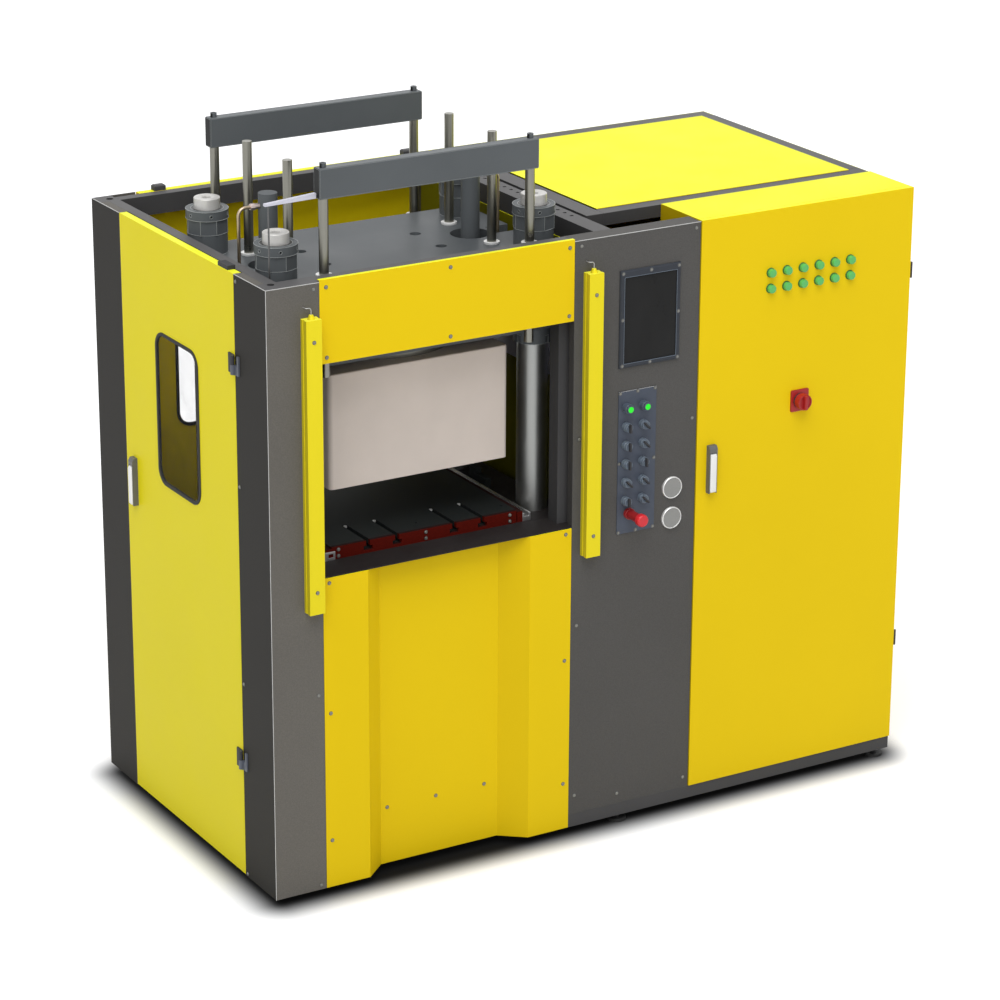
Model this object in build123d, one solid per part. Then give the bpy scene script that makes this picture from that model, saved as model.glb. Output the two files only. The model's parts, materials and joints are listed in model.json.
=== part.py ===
from build123d import *
import math
import os

os.makedirs("parts", exist_ok=True)

# Four-column rubber vulcanizing press with its control and electrical bay.
# Millimetres, +Z up. The front faces -Y and the long side runs along X.
# Pieces are laid out from the frame's front left bottom corner and moved
# to the bottom centre of the whole machine when they are written.

# Overall envelope of the sheet-metal enclosure
WIDTH = 2208.0
DEPTH = 1138.0
HEIGHT = 1850.0
FOOT = 27.0
SHEET = 2.0

# Lower platen, moving block and the columns outside them
PLATEN_HX = 312.0
STRIP_T = 12.0
STRIP_W = 18.0
SLIDE_W = 28.0
SLIDE_T = 25.0
COL_R = 47.5
COL_DX = PLATEN_HX + STRIP_W + SLIDE_W + COL_R + 17.5
COL_DY = 217.0
BLOCK_HX = PLATEN_HX - 15.0
BLOCK_HY = 286.0
ROD_R = 14.0
ROD_DX = BLOCK_HX + 38.5
ROD_DY = 125.0
BEAM_DY = 338.0
FIXED_FIT = 0.05
RUN_FIT = 0.05
BODY_GAP = 0.3

# Press axis, set off from the corner by the columns
XC = COL_DX + 147.0
YC = 436.0

# Bay split along the front
COVER_W = 166.5
OPEN_X0 = COVER_W + 0.7
OPEN_X1 = XC + 429.5
PANEL_X0 = OPEN_X1 + 0.5
PANEL_X1 = PANEL_X0 + 434.5
CAB_X0 = PANEL_X1 + 1.5
CAB_FRONT = -4.0
CAB_BACK = 217.0
CAB_TOP = HEIGHT + 2.6
BASE_H = 40.6
HEADER_Z0 = HEIGHT - 239.0
HEADER_Z1 = HEIGHT + 6.0
SILL_Z = HEIGHT - 875.0
SILL_T = 3.0
RECESS_X = (OPEN_X0 + 145.8, OPEN_X0 + 214.8, OPEN_X1 - 217.5, OPEN_X1 - 142.5)
RECESS_DEPTH = 60.0

# Frame rails
RAIL = 60.0
LEFT_X0 = 28.0
LEFT_X1 = 64.0
REAR_Y0 = DEPTH - 64.0
REAR_Y1 = DEPTH - 28.0
BAY_X0 = XC + COL_DX + 109.0
BAY_X1 = BAY_X0 + RAIL
UNIT_X0 = BAY_X1 + 14.0
UNIT_Y0 = CAB_BACK + SHEET
HOLE_PITCH = 38.5
HOLE_Y0 = 245.0
HOLE_DEEP = 25.0
LIFT_HOLE_R = 11.0
UNIT_RAIL = 38.0
PANEL_FOLD = 65.0

# Heights of the crosshead, moving block and platen
HEAD_Z0 = HEIGHT - 300.0
HEAD_Z1 = HEIGHT - 67.0
HEAD_PLATE = 45.0
LUG_Z0 = HEAD_Z0 + 90.0
LUG_Z1 = HEAD_Z1 + 32.0
REAR_LUG_Z1 = HEAD_Z1 - 43.0
HEAD_HX = COL_DX + 62.0
HEAD_HY = 289.0
NOTCH_X = COL_DX - 16.0
NOTCH_Y = 34.0
BLOCK_Z0 = SILL_Z + 199.0
BLOCK_Z1 = HEAD_Z0 - 30.0
APRON_T = 3.0
FLANGE_R = 245.0
FLANGE_T = 25.0
RAM_R = 110.0
PLATEN_Z1 = SILL_Z + 38.0
PLATEN_Y0 = YC - 308.0
PLATEN_Y1 = YC + 320.0
SLOT_DX = (-192.0, -96.0, 96.0, 192.0)

# Lifting beams
BEAM_HX = ROD_DX + 19.5
BEAM_HY = 18.0
BEAM_Z0 = HEAD_Z1 + 276.0
BEAM_Z1 = BEAM_Z0 + 87.0
BEAM_ROD_Z0 = HEAD_Z0 - 11.0
ROD_TOP = HEAD_Z1 + 338.0

# Doors
DOOR_T = 25.0
DOOR_Y0 = 197.0
DOOR_Y1 = DEPTH - 195.0
GUARD_X0 = 146.0
PIN_X = -8.0
PIN_Y = 196.0
WIN_Z0 = HEIGHT - 772.0
WIN_Z1 = HEIGHT - 298.0
WIN_R = 50.0
GASKET = 10.0
CAB_DOOR_T = 20.0
CAB_LEAF = 0.4
CAB_PIN_X = WIDTH + 4.5
CAB_PIN_Y = -1.0
CAB_PIN_R = 2.0
CAB_KNUCKLE_R = 4.2

# Operator devices, screen and cover discs, measured down from the top
SCREEN = (PANEL_X0 + 154, PANEL_X0 + 363.5, HEIGHT - 408, HEIGHT - 111)
GLASS = (PANEL_X0 + 168, PANEL_X0 + 349, HEIGHT - 394, HEIGHT - 132)
SWITCH_PLATE = (PANEL_X0 + 156, PANEL_X0 + 288, HEIGHT - 927, HEIGHT - 481)
PLATE_T = 3.0
OPS_X = (PANEL_X0 + 182.0, PANEL_X0 + 241.0)
OPS_Z = tuple(HEIGHT - drop for drop in (590.5, 648.5, 706.0, 764.0, 822.5))
TURNED = ((0, 0, 0, 1, 0), (1, 1, 0, 1, 1))
BUTTON_Z = HEIGHT - 531.5
ESTOP_X = PANEL_X0 + 196.0
ESTOP_Z = HEIGHT - 865.0
ESTOP_Y = -88.0
DISC_X = PANEL_X0 + 350.0
DISC_Z = (HEIGHT - 811.0, HEIGHT - 907.0)

# Cabinet door: lamps, main switch and handle
SWITCH_X = (CAB_X0 + WIDTH) / 2 - 16.0
SWITCH_Z = HEIGHT - 610.0
KNOB_R = 25.0
LAMP_PITCH = 58.2
LAMP_Z = (HEIGHT - 191.0, HEIGHT - 240.0)
LEFT_HANDLE = (DOOR_Y1 - 60.0, HEIGHT - 897.0)
CAB_HANDLE = (CAB_X0 + 50.0, HEIGHT - 849.0)
LEVER_Y = 22.0

# Light curtains
CURTAINS = (COVER_W - 59.5, PANEL_X0 + 30.0)
CURTAIN_W = 49.0
CURTAIN_Y = -34.0
CURTAIN_Z0 = HEIGHT - 968.0
CURTAIN_Z1 = HEIGHT - 96.0
LEAD_R = 1.25

# Centre of the machine's box: lever to hinge pin, stop button to gasket
MID_X = (CAB_PIN_X + CAB_KNUCKLE_R - LEVER_Y) / 2
MID_Y = (DEPTH + SHEET + 1.0 + ESTOP_Y) / 2


def box(x0, x1, y0, y1, z0, z1):
    body = Box(x1 - x0, y1 - y0, z1 - z0)
    return Pos((x0 + x1) / 2, (y0 + y1) / 2, (z0 + z1) / 2) * body


def cyl_z(x, y, z0, z1, r):
    return Pos(x, y, (z0 + z1) / 2) * Cylinder(r, z1 - z0)


def cyl_y(x, z, y0, y1, r):
    return Pos(x, (y0 + y1) / 2, z) * Rot(90, 0, 0) * Cylinder(r, y1 - y0)


def cyl_x(y, z, x0, x1, r):
    return Pos((x0 + x1) / 2, y, z) * Rot(0, 90, 0) * Cylinder(r, x1 - x0)


def tube_z(x, y, z0, z1, r, bore):
    return cyl_z(x, y, z0, z1, r) - cyl_z(x, y, z0 - 1, z1 + 1, bore)


def tube_y(x, z, y0, y1, r, bore):
    return cyl_y(x, z, y0, y1, r) - cyl_y(x, z, y0 - 1, y1 + 1, bore)


def plan(points, z0, z1):
    # Upright prism over a polygon drawn in plan
    wire = Polyline(*[(px, py) for px, py in points], close=True)
    return Pos(0, 0, z0) * extrude(make_face(wire), z1 - z0)


def rounded_x(y0, y1, z0, z1, r, x0, x1):
    # Rounded rectangle in the YZ plane, thick along X
    face = RectangleRounded(y1 - y0, z1 - z0, r)
    solid = extrude(Plane.YZ * face, x1 - x0)
    return Pos(x0, (y0 + y1) / 2, (z0 + z1) / 2) * solid


def rounded_y(x0, x1, z0, z1, r, y0, y1):
    # Rounded rectangle in the XZ plane, thick along Y
    face = RectangleRounded(x1 - x0, z1 - z0, r)
    solid = extrude(Plane.XZ * face, -(y1 - y0))
    return Pos((x0 + x1) / 2, y0, (z0 + z1) / 2) * solid


def solids(*items):
    out = []
    for item in items:
        if isinstance(item, (list, tuple)):
            out.extend(solids(*item))
        else:
            out.extend(item.solids())
    return out


def save(name, *items):
    shape = Compound(children=solids(*items))
    shape = Pos(-MID_X, -MID_Y, FOOT) * shape
    export_step(shape, f"parts/{name}.step")


def corners(dx, dy):
    return [(XC + sx * dx, YC + sy * dy) for sy in (-1, 1) for sx in (-1, 1)]


columns_at = corners(COL_DX, COL_DY)
guides_at = corners(ROD_DX, ROD_DY)
beams_at = corners(ROD_DX, BEAM_DY)
cylinders_at = [(XC - ROD_DX, YC), (XC + ROD_DX, YC)]


# Frame round the press: four posts and the rails welded between them
def make_frame():
    y0 = SHEET + RAIL
    y1 = DEPTH - SHEET - RAIL
    top = HEIGHT - RAIL
    front_left = box(SHEET, SHEET + RAIL, SHEET, y0, 0, HEIGHT)
    rear_left = box(SHEET, SHEET + RAIL, y1, DEPTH - SHEET, 0, HEIGHT)
    rear_right = box(BAY_X0, BAY_X1, y1, DEPTH - SHEET, 0, HEIGHT)
    front_right = box(BAY_X0, BAY_X1, SHEET, y0, BASE_H, HEIGHT)
    inner_post = box(OPEN_X1 - 22.5, OPEN_X1 + 24.5, 47, 95, SILL_Z, top)
    front_rail = box(SHEET + RAIL, BAY_X0, SHEET, y0, top, HEIGHT)
    drilled_rail = box(BAY_X0, BAY_X1, y0, y1, top, HEIGHT)
    rails = []
    for z0 in (0, top):
        rear = box(SHEET + RAIL, BAY_X0, REAR_Y0, REAR_Y1, z0, z0 + RAIL)
        left = box(LEFT_X0, LEFT_X1, y0, y1, z0, z0 + RAIL) - rear
        rails += [rear, left]
    rails.append(box(BAY_X0, BAY_X1, y0, y1, 0, RAIL))
    for i in range(int((y1 - HOLE_Y0) / HOLE_PITCH)):
        y = HOLE_Y0 + HOLE_PITCH * i
        drilled_rail -= cyl_z(BAY_X0 + 38, y, HEIGHT - HOLE_DEEP, HEIGHT + 1, 6.0)
    front_left -= cyl_z(40, 46, HEIGHT - HOLE_DEEP, HEIGHT + 1, LIFT_HOLE_R)
    rear_left -= cyl_z(42, DEPTH - 38, HEIGHT - HOLE_DEEP, HEIGHT + 1, LIFT_HOLE_R)
    step = box(PANEL_X0, BAY_X1 + 1, SHEET, PANEL_FOLD, HEIGHT - SHEET, HEIGHT + 1)
    under_panel = [bar - step for bar in (front_rail, drilled_rail, front_right)]
    return [front_left, rear_left, rear_right, inner_post] + rails + under_panel


save("frame", make_frame())


# Base, posts and top rails of the control and electrical bay
def make_unit_frame():
    x1 = WIDTH - SHEET
    y1 = DEPTH - SHEET
    top = HEIGHT - UNIT_RAIL
    bars = [
        box(PANEL_X0, x1, 0, SHEET + RAIL, 0, BASE_H),
        box(x1 - RAIL, x1, SHEET + RAIL, y1, 0, BASE_H),
        box(UNIT_X0, x1 - RAIL, y1 - RAIL, y1, 0, BASE_H),
        box(UNIT_X0, UNIT_X0 + RAIL, SHEET + RAIL, y1 - RAIL, 0, BASE_H),
        box(UNIT_X0 + RAIL, x1 - RAIL, UNIT_Y0, UNIT_Y0 + 49, top, HEIGHT),
        box(UNIT_X0 + RAIL, x1 - RAIL, y1 - 55, y1, top, HEIGHT),
        box(UNIT_X0, UNIT_X0 + RAIL, UNIT_Y0 + RAIL, y1 - RAIL, top, HEIGHT),
        box(x1 - 43, x1, UNIT_Y0 + RAIL, y1 - RAIL, top, HEIGHT),
    ]
    for px in (UNIT_X0, x1 - RAIL):
        for py in (UNIT_Y0, y1 - RAIL):
            bars.append(box(px, px + RAIL, py, py + RAIL, BASE_H, HEIGHT))
    return bars


save("unit_frame", make_unit_frame())

# Levelling feet under the bay and pads under the press bed
feet = []
for fx in (UNIT_X0 + 19, WIDTH - 37):
    for fy in (32.0, DEPTH - 32.0):
        foot = cyl_z(fx, fy, -FOOT, -FOOT + 9, 30) + cyl_z(fx, fy, -FOOT + 9, 0, 9)
        feet.append(foot)
for px, py in columns_at:
    feet.append(cyl_z(px, py, -FOOT, 0, 50))
save("feet", feet)


# Folded covers over the two left-hand corner posts
def make_front_cover():
    body = box(0, COVER_W, 0, SHEET, 0, HEIGHT)
    body += box(0, SHEET, SHEET, DOOR_Y0 - SHEET, 0, HEIGHT)
    body += box(COVER_W - SHEET, COVER_W, SHEET, 27, 0, HEIGHT - RAIL)
    body += box(SHEET, LEFT_X0, SHEET + RAIL, DOOR_Y0 - SHEET, HEIGHT - SHEET, HEIGHT)
    return body


def make_rear_cover():
    body = box(0, SHEET, DOOR_Y1 + SHEET, DEPTH, 0, HEIGHT)
    body += box(SHEET, GUARD_X0 - SHEET, DEPTH - SHEET, DEPTH, 0, HEIGHT)
    post_y0 = DEPTH - SHEET - RAIL
    body += box(SHEET, LEFT_X0, DOOR_Y1 + SHEET, post_y0, HEIGHT - SHEET, HEIGHT)
    return body


save("corner_covers", make_front_cover(), make_rear_cover())


# Control panel sheet with the screen and switch openings
def make_control_panel():
    body = box(PANEL_X0, PANEL_X1, 0, SHEET, BASE_H, HEIGHT)
    body += box(PANEL_X0, PANEL_X1, SHEET, PANEL_FOLD, HEIGHT - SHEET, HEIGHT)
    body += box(PANEL_X0, PANEL_X0 + SHEET, SHEET, 27, BASE_H, HEIGHT - RAIL)
    body += box(PANEL_X1 - SHEET, PANEL_X1, SHEET, 27, BASE_H, HEIGHT - SHEET)
    return body


save("control_panel", make_control_panel())

# Header over the press opening
header = box(OPEN_X0, OPEN_X1, 0, SHEET, HEADER_Z0, HEADER_Z1)
header += box(OPEN_X0, OPEN_X1, SHEET, 14, HEADER_Z1 - SHEET, HEADER_Z1)
header += box(OPEN_X0, OPEN_X1, SHEET, 22, HEADER_Z0, HEADER_Z0 + SHEET)
save("header_panel", header)


# Lower front panel, folded in 60 mm to clear the operator's feet
def make_lower_panel():
    x0, x1, x2, x3 = RECESS_X
    line = [(OPEN_X0, 0), (x0, 0), (x1, RECESS_DEPTH)]
    line += [(x2, RECESS_DEPTH), (x3, 0), (OPEN_X1, 0)]
    back = [(px, py + SHEET) for px, py in reversed(line)]
    return plan(line + back, 0, SILL_Z - SILL_T)


save("lower_panel", make_lower_panel())


# Welded press bed with its table plate, and the sill sheet before it
def make_bed():
    y0 = PLATEN_Y0 - STRIP_T - 8
    y1 = PLATEN_Y1 + 8
    under = SILL_Z - 60
    half = COL_DX + 77
    body = box(XC - half, XC + half, y0, y1, under, SILL_Z)
    body += box(XC - COL_DX - 55, XC - COL_DX + 55, YC - 296, YC + 296, RAIL, under)
    body += box(XC + COL_DX - 55, XC + COL_DX + 55, YC - 296, YC + 296, RAIL, under)
    body += box(XC - COL_DX + 55, XC + COL_DX - 55, YC - 16, YC + 16, RAIL, under)
    body += box(LEFT_X1, BAY_X0, YC - 306, YC + 309, 0, RAIL)
    for px, py in columns_at:
        body -= cyl_z(px, py, SILL_Z - 54, SILL_Z + 1, COL_R + FIXED_FIT)
    return body


sill = box(SHEET + RAIL, BAY_X0 - SHEET, SHEET, PLATEN_Y0 - STRIP_T - 8, SILL_Z - SILL_T, SILL_Z)
for jamb in (COVER_W - SHEET, PANEL_X0):
    sill -= box(jamb, jamb + SHEET, SHEET, 27, SILL_Z - SILL_T - 1, SILL_Z + 1)
save("bed", make_bed(), sill)

# Four columns with their nuts and caps
COL_TOP = HEAD_Z1 + 131.0
save("columns", [cyl_z(px, py, SILL_Z - 54, COL_TOP, COL_R) for px, py in columns_at])


def make_nut(px, py):
    bore = COL_R + FIXED_FIT
    ring_z0 = COL_TOP - 27
    flat_z0 = HEAD_Z1 + 61
    octagon = extrude(RegularPolygon(57, 8, major_radius=False), ring_z0 - flat_z0)
    nut = cyl_z(px, py, HEAD_Z1, flat_z0, 59) + Pos(px, py, flat_z0) * octagon
    nut -= cyl_z(px, py, HEAD_Z1 - 1, ring_z0 + 1, bore)
    ring = tube_z(px, py, ring_z0, COL_TOP, 62.5, bore)
    for i in range(6):
        turn = Rot(0, 0, 60 * i + 15)
        pin = Pos(57, 0, 0) * Rot(0, 90, 0) * Cylinder(4.5, 14)
        ring -= Pos(px, py, (ring_z0 + COL_TOP) / 2) * turn * pin
    collar = tube_z(px, py, HEAD_Z0 - 50, HEAD_Z0, 59, bore)
    for i in range(4):
        turn = Rot(0, 0, 90 * i + 15)
        collar -= Pos(px, py, HEAD_Z0 - 38) * turn * Pos(58, 0, 0) * Box(12, 14, 26)
    return [nut, ring, collar]


save("column_nuts", [make_nut(px, py) for px, py in columns_at])


def make_cap(px, py):
    cap = cyl_z(px, py, COL_TOP, COL_TOP + 32, 38.5)
    hexagon = extrude(RegularPolygon(13, 6), 20)
    return cap - Pos(px, py, COL_TOP + 20) * hexagon


save("column_caps", [make_cap(px, py) for px, py in columns_at])


# Crosshead: top and bottom plates, rim and the main cylinder barrel
def make_crosshead():
    def outline(z0, z1):
        slab = box(XC - HEAD_HX, XC + HEAD_HX, YC - HEAD_HY, YC + HEAD_HY, z0, z1)
        for side in (-1, 1):
            xa = XC + side * NOTCH_X
            xb = XC + side * (HEAD_HX + 1)
            lo, hi = min(xa, xb), max(xa, xb)
            slab -= box(lo, hi, YC - NOTCH_Y, YC + NOTCH_Y, z0 - 1, z1 + 1)
        return slab

    wall = 30.0
    body = outline(HEAD_Z0, HEAD_Z1)
    inner_z0 = HEAD_Z0 + HEAD_PLATE
    inner_z1 = HEAD_Z1 - HEAD_PLATE
    hx = NOTCH_X - wall
    hy = HEAD_HY - wall
    pocket = box(XC - hx, XC + hx, YC - hy, YC + hy, inner_z0, inner_z1)
    pocket -= cyl_z(XC, YC, inner_z0 - 1, inner_z1 + 1, RAM_R + 40)
    body -= pocket
    for px, py in cylinders_at:
        body -= cyl_z(px, py, inner_z1 - 1, HEAD_Z1 + 1, 60)
    for sx in (-1, 1):
        for sy in (-1, 1):
            body -= cyl_z(XC + sx * 192, YC + sy * 77, inner_z1 - 1, HEAD_Z1 + 1, 17)
    for px, py in columns_at:
        body -= cyl_z(px, py, HEAD_Z0 - 1, HEAD_Z1 + 1, COL_R + FIXED_FIT)
    for px, py in guides_at:
        body -= cyl_z(px, py, inner_z1 - 1, HEAD_Z1 + 1, 20)
        body -= cyl_z(px, py, HEAD_Z0 - 1, inner_z0 + 1, ROD_R + 2)
    for px, py in beams_at:
        side = 1 if py > YC else -1
        ya = YC + side * HEAD_HY
        yb = py + side * 32
        lo, hi = min(ya, yb), max(ya, yb)
        top = LUG_Z1 if side < 0 else REAR_LUG_Z1
        body += box(px - 40, px + 40, lo, hi, LUG_Z0, top)
        body -= cyl_z(px, py, LUG_Z0 - 1, top + 1, 20)
    body -= cyl_z(XC, YC, HEAD_Z0 - 1, HEAD_Z1 - 18, RAM_R + RUN_FIT)
    return body


save("crosshead", make_crosshead())

# Flanged guide bushings of the eight rods
bushings = []
for px, py in guides_at:
    bush = cyl_z(px, py, HEAD_Z1 - HEAD_PLATE, HEAD_Z1, 20)
    bush += cyl_z(px, py, HEAD_Z1, HEAD_Z1 + 7, 24)
    bushings.append(bush - cyl_z(px, py, HEAD_Z0, BEAM_Z0, ROD_R + RUN_FIT))
for px, py in beams_at:
    flange_z = (LUG_Z1 if py < YC else REAR_LUG_Z1) + 17
    bush = cyl_z(px, py, LUG_Z0, flange_z, 20) + cyl_z(px, py, flange_z, flange_z + 8, 24)
    bushings.append(bush - cyl_z(px, py, HEAD_Z0, BEAM_Z0, ROD_R + RUN_FIT))
save("rod_bushings", bushings)

# Side cylinders standing on the crosshead's bottom plate
CYL_TOP = HEAD_Z1 + 214.0
CYL_R = 28.0
side_cylinders = []
for px, py in cylinders_at:
    side_cylinders.append(cyl_z(px, py, HEAD_Z0 + HEAD_PLATE, CYL_TOP, CYL_R))
save("side_cylinders", side_cylinders)


# Oil pipes from the cylinder heads down through the crosshead notches
def make_pipe(side):
    port = XC + side * (ROD_DX + CYL_R)
    drop = XC + side * (NOTCH_X + 23)
    z = CYL_TOP - 36
    fitting = cyl_x(YC, z, min(port, port + side * 30), max(port, port + side * 30), 8)
    start = (port + side * 30, YC, z)
    path = FilletPolyline(start, (drop, YC, z), (drop, YC, LUG_Z0), radius=22)
    section = Plane(origin=start, z_dir=(side, 0, 0)) * Circle(5)
    return [fitting, sweep(section, path=path)]


save("cylinder_pipes", [make_pipe(-1), make_pipe(1)])


# Lower platen with four T-slots, and a limit bracket at its back corner
def t_slots(y0, y1):
    out = None
    for dx in SLOT_DX:
        neck = box(XC + dx - 7, XC + dx + 7, y0, y1, PLATEN_Z1 - 16, PLATEN_Z1 + 1)
        foot_z = PLATEN_Z1 - 28
        wide = box(XC + dx - 15, XC + dx + 15, y0, y1, foot_z, PLATEN_Z1 - 16)
        out = neck + wide if out is None else out + neck + wide
    return out


platen = box(XC - PLATEN_HX, XC + PLATEN_HX, PLATEN_Y0, PLATEN_Y1, SILL_Z, PLATEN_Z1)
platen -= t_slots(PLATEN_Y0 - 1, PLATEN_Y0 + 134)
for dx in (0, PLATEN_HX - 20):
    platen -= cyl_z(XC + dx, PLATEN_Y0 + 48, PLATEN_Z1 - 12, PLATEN_Z1 + 1, 5)
bracket_x = XC + COL_DX - 41
bracket = box(bracket_x, bracket_x + 20, YC + 44, YC + 84, SILL_Z, SILL_Z + 47)
bracket += box(bracket_x, bracket_x + 20, YC - 16, YC + 44, SILL_Z, SILL_Z + 31)
save("lower_platen", platen, bracket)

# Insulating strips round the lower platen
STRIP_Y0 = PLATEN_Y0 - STRIP_T
strip = box(XC - PLATEN_HX, XC + PLATEN_HX - 3, STRIP_Y0, PLATEN_Y0, SILL_Z, PLATEN_Z1)
strip -= t_slots(STRIP_Y0 - 1, PLATEN_Y0 + 1)
x_r = XC + PLATEN_HX
x_l = XC - PLATEN_HX
side_r = box(x_r, x_r + STRIP_W, STRIP_Y0, PLATEN_Y1, SILL_Z, PLATEN_Z1 - 5)
side_l = box(x_l - STRIP_W, x_l, STRIP_Y0, PLATEN_Y1, SILL_Z, PLATEN_Z1 - 5)
save("insulation_strips", strip, side_r, side_l)


# Mould slide rails beside the platen
def make_slide(x0, x1):
    rail = box(x0, x1, STRIP_Y0, PLATEN_Y0 + 512, SILL_Z, SILL_Z + SLIDE_T)
    groove_z = SILL_Z + SLIDE_T - 10
    rail -= box(x0 + 7, x1 - 7, STRIP_Y0 - 1, PLATEN_Y0 + 513, groove_z, groove_z + 11)
    return rail


slide_r = make_slide(x_r + STRIP_W, x_r + STRIP_W + SLIDE_W)
slide_l = make_slide(x_l - STRIP_W - SLIDE_W, x_l - STRIP_W)
clip = box(x_l - STRIP_W - SLIDE_W, x_l + 10, STRIP_Y0 - 3, STRIP_Y0, SILL_Z, SILL_Z + 26)
clip -= box(x_l - 12, x_l + 4, STRIP_Y0 - 4, STRIP_Y0 + 1, SILL_Z + 8, SILL_Z + 19)
save("slide_rails", slide_r, slide_l, clip)


# Beige apron of the moving block
def make_apron():
    outer = box(XC - BLOCK_HX, XC + BLOCK_HX, YC - BLOCK_HY, YC + BLOCK_HY, BLOCK_Z0, BLOCK_Z1)
    outer = fillet(outer.edges().filter_by(Axis.Z), 14)
    outer = fillet(outer.edges().group_by(Axis.Z)[-1], 4)
    hx = BLOCK_HX - APRON_T
    hy = BLOCK_HY - APRON_T
    inner = box(XC - hx, XC + hx, YC - hy, YC + hy, BLOCK_Z0 - 1, BLOCK_Z1 - APRON_T)
    inner = fillet(inner.edges().filter_by(Axis.Z), 11)
    return outer - inner


save("apron", make_apron())


# Hot platen, moving beam above it and the rod tabs on the apron
def make_upper_platen():
    hx = BLOCK_HX - APRON_T - 12
    hy = BLOCK_HY - APRON_T - 12
    plate = box(XC - hx, XC + hx, YC - hy, YC + hy, BLOCK_Z0 - 3, BLOCK_Z0 + 42)
    beam_z1 = BLOCK_Z1 - APRON_T
    plate += box(XC - 240, XC + 240, YC - 240, YC + 240, BLOCK_Z0 + 42, beam_z1)
    return plate


def make_tabs():
    out = []
    for px, py in guides_at:
        side = 1 if px > XC else -1
        xa = XC + side * (BLOCK_HX - 31)
        xb = XC + side * (ROD_DX + 26)
        tab = box(min(xa, xb), max(xa, xb), py - 24, py + 24, BLOCK_Z1, BLOCK_Z1 + 10)
        tab += tube_z(px, py, BLOCK_Z1 + 10, BLOCK_Z1 + 26, 22, ROD_R)
        out.append(tab)
    return out


save("upper_platen", make_upper_platen(), make_tabs())

# Ram with its flange, and the four guide rods
ram = cyl_z(XC, YC, BLOCK_Z1, BLOCK_Z1 + FLANGE_T, FLANGE_R)
ram += cyl_z(XC, YC, BLOCK_Z1 + FLANGE_T, HEAD_Z1 - 22, RAM_R)
guide_rods = [cyl_z(px, py, BLOCK_Z1 + 10, ROD_TOP, ROD_R) for px, py in guides_at]
save("ram_and_rods", ram, guide_rods)


# Lifting beams, their socket screws, rods and the position sensor arm
def make_beam(side):
    y = YC + side * BEAM_DY
    beam = box(XC - BEAM_HX, XC + BEAM_HX, y - BEAM_HY, y + BEAM_HY, BEAM_Z0, BEAM_Z1)
    beam = chamfer(beam.edges(), 2)
    out = [beam]
    for sx in (-1, 1):
        head = cyl_z(XC + sx * ROD_DX, y, BEAM_Z1, BEAM_Z1 + 14, 9.5)
        socket = extrude(RegularPolygon(5.5, 6), 12)
        out.append(head - Pos(XC + sx * ROD_DX, y, BEAM_Z1 + 6) * socket)
    return out


def make_beam_rods(side):
    y = YC + side * BEAM_DY
    return [cyl_z(XC + sx * ROD_DX, y, BEAM_ROD_Z0, BEAM_Z0, ROD_R) for sx in (-1, 1)]


save("beam_front", make_beam(-1))
save("beam_front_rods", make_beam_rods(-1))
save("beam_rear", make_beam(1))
save("beam_rear_rods", make_beam_rods(1))

x_end = XC - BEAM_HX
arm_x = x_end - 159
arm_y = YC - BEAM_DY + 16
arm_points = [
    (x_end, BEAM_Z0), (x_end, BEAM_Z0 + 15), (arm_x, BEAM_Z0 + 4), (arm_x, BEAM_Z0 - 3)
]
arm = make_face(Polyline(*arm_points, close=True))
arm = Pos(0, arm_y, 0) * extrude(Plane.XZ * arm, 12)
sensor_rod = cyl_z(arm_x + 12.5, arm_y - 6, HEAD_Z0 - 50, BEAM_Z0 - 2.6, 2.5)
save("sensor_arm", arm, sensor_rod)


# Partition behind the press opening and the outer yellow sheets
partition = box(BAY_X0 - SHEET, BAY_X0, SHEET + RAIL, REAR_Y0, RAIL, HEIGHT - RAIL)
top_sheet = box(UNIT_X0 + 65, WIDTH - 45, UNIT_Y0 + 49, DEPTH - 57, HEIGHT, HEIGHT + SHEET)
rear_sheet = box(BAY_X1, WIDTH, DEPTH - SHEET, DEPTH, BASE_H, HEIGHT)
right_sheet = box(WIDTH - SHEET, WIDTH, UNIT_Y0, DEPTH - SHEET, BASE_H, HEIGHT)
save("cover_sheets", partition, top_sheet, rear_sheet, right_sheet)
insert = box(BAY_X0 - SHEET - 6, BAY_X0 - SHEET, 100, 760, HEADER_Z0 - 256, HEADER_Z0 + 39)
save("partition_insert", insert)


# Window: outer gasket edge, its bore and the cut in the sheet
def window_x(y0, y1, inset, x0, x1):
    z0, z1 = WIN_Z0 + inset, WIN_Z1 - inset
    return rounded_x(y0 + inset, y1 - inset, z0, z1, WIN_R - inset, x0, x1)


def window_y(x0, x1, inset, y0, y1):
    z0, z1 = WIN_Z0 + inset, WIN_Z1 - inset
    return rounded_y(x0 + inset, x1 - inset, z0, z1, WIN_R - inset, y0, y1)


# Rear guard with its window
rear_x0, rear_x1 = GUARD_X0, BAY_X1 - SHEET
guard = box(rear_x0, rear_x1, DEPTH - SHEET, DEPTH, 3, HEIGHT)
guard += box(rear_x0, rear_x1, DEPTH - DOOR_T, DEPTH - SHEET, HEIGHT - SHEET, HEIGHT)
guard += box(rear_x0, rear_x0 + SHEET, DEPTH - DOOR_T, DEPTH - SHEET, 3, HEIGHT - SHEET)
guard -= box(BAY_X0 - 1, rear_x1 + 1, DEPTH - DOOR_T - 1, DEPTH - SHEET, 0, HEIGHT + 1)
rear_win = (rear_x0 + 116, rear_x0 + 758)
guard -= window_y(*rear_win, 4, DEPTH - 10, DEPTH + 5)
for z in (8, HEIGHT - 50):
    guard += box(300, 340, REAR_Y1, DEPTH - SHEET, z, z + 30)
rear_blocks = []
for px in (rear_x0 + 51, rear_x1 - 100):
    rear_block = box(px, px + 38, DEPTH - DOOR_T, DEPTH, HEIGHT, HEIGHT + 17)
    rear_blocks.append(chamfer(rear_block.edges().group_by(Axis.Z)[-1], 4))
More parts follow.
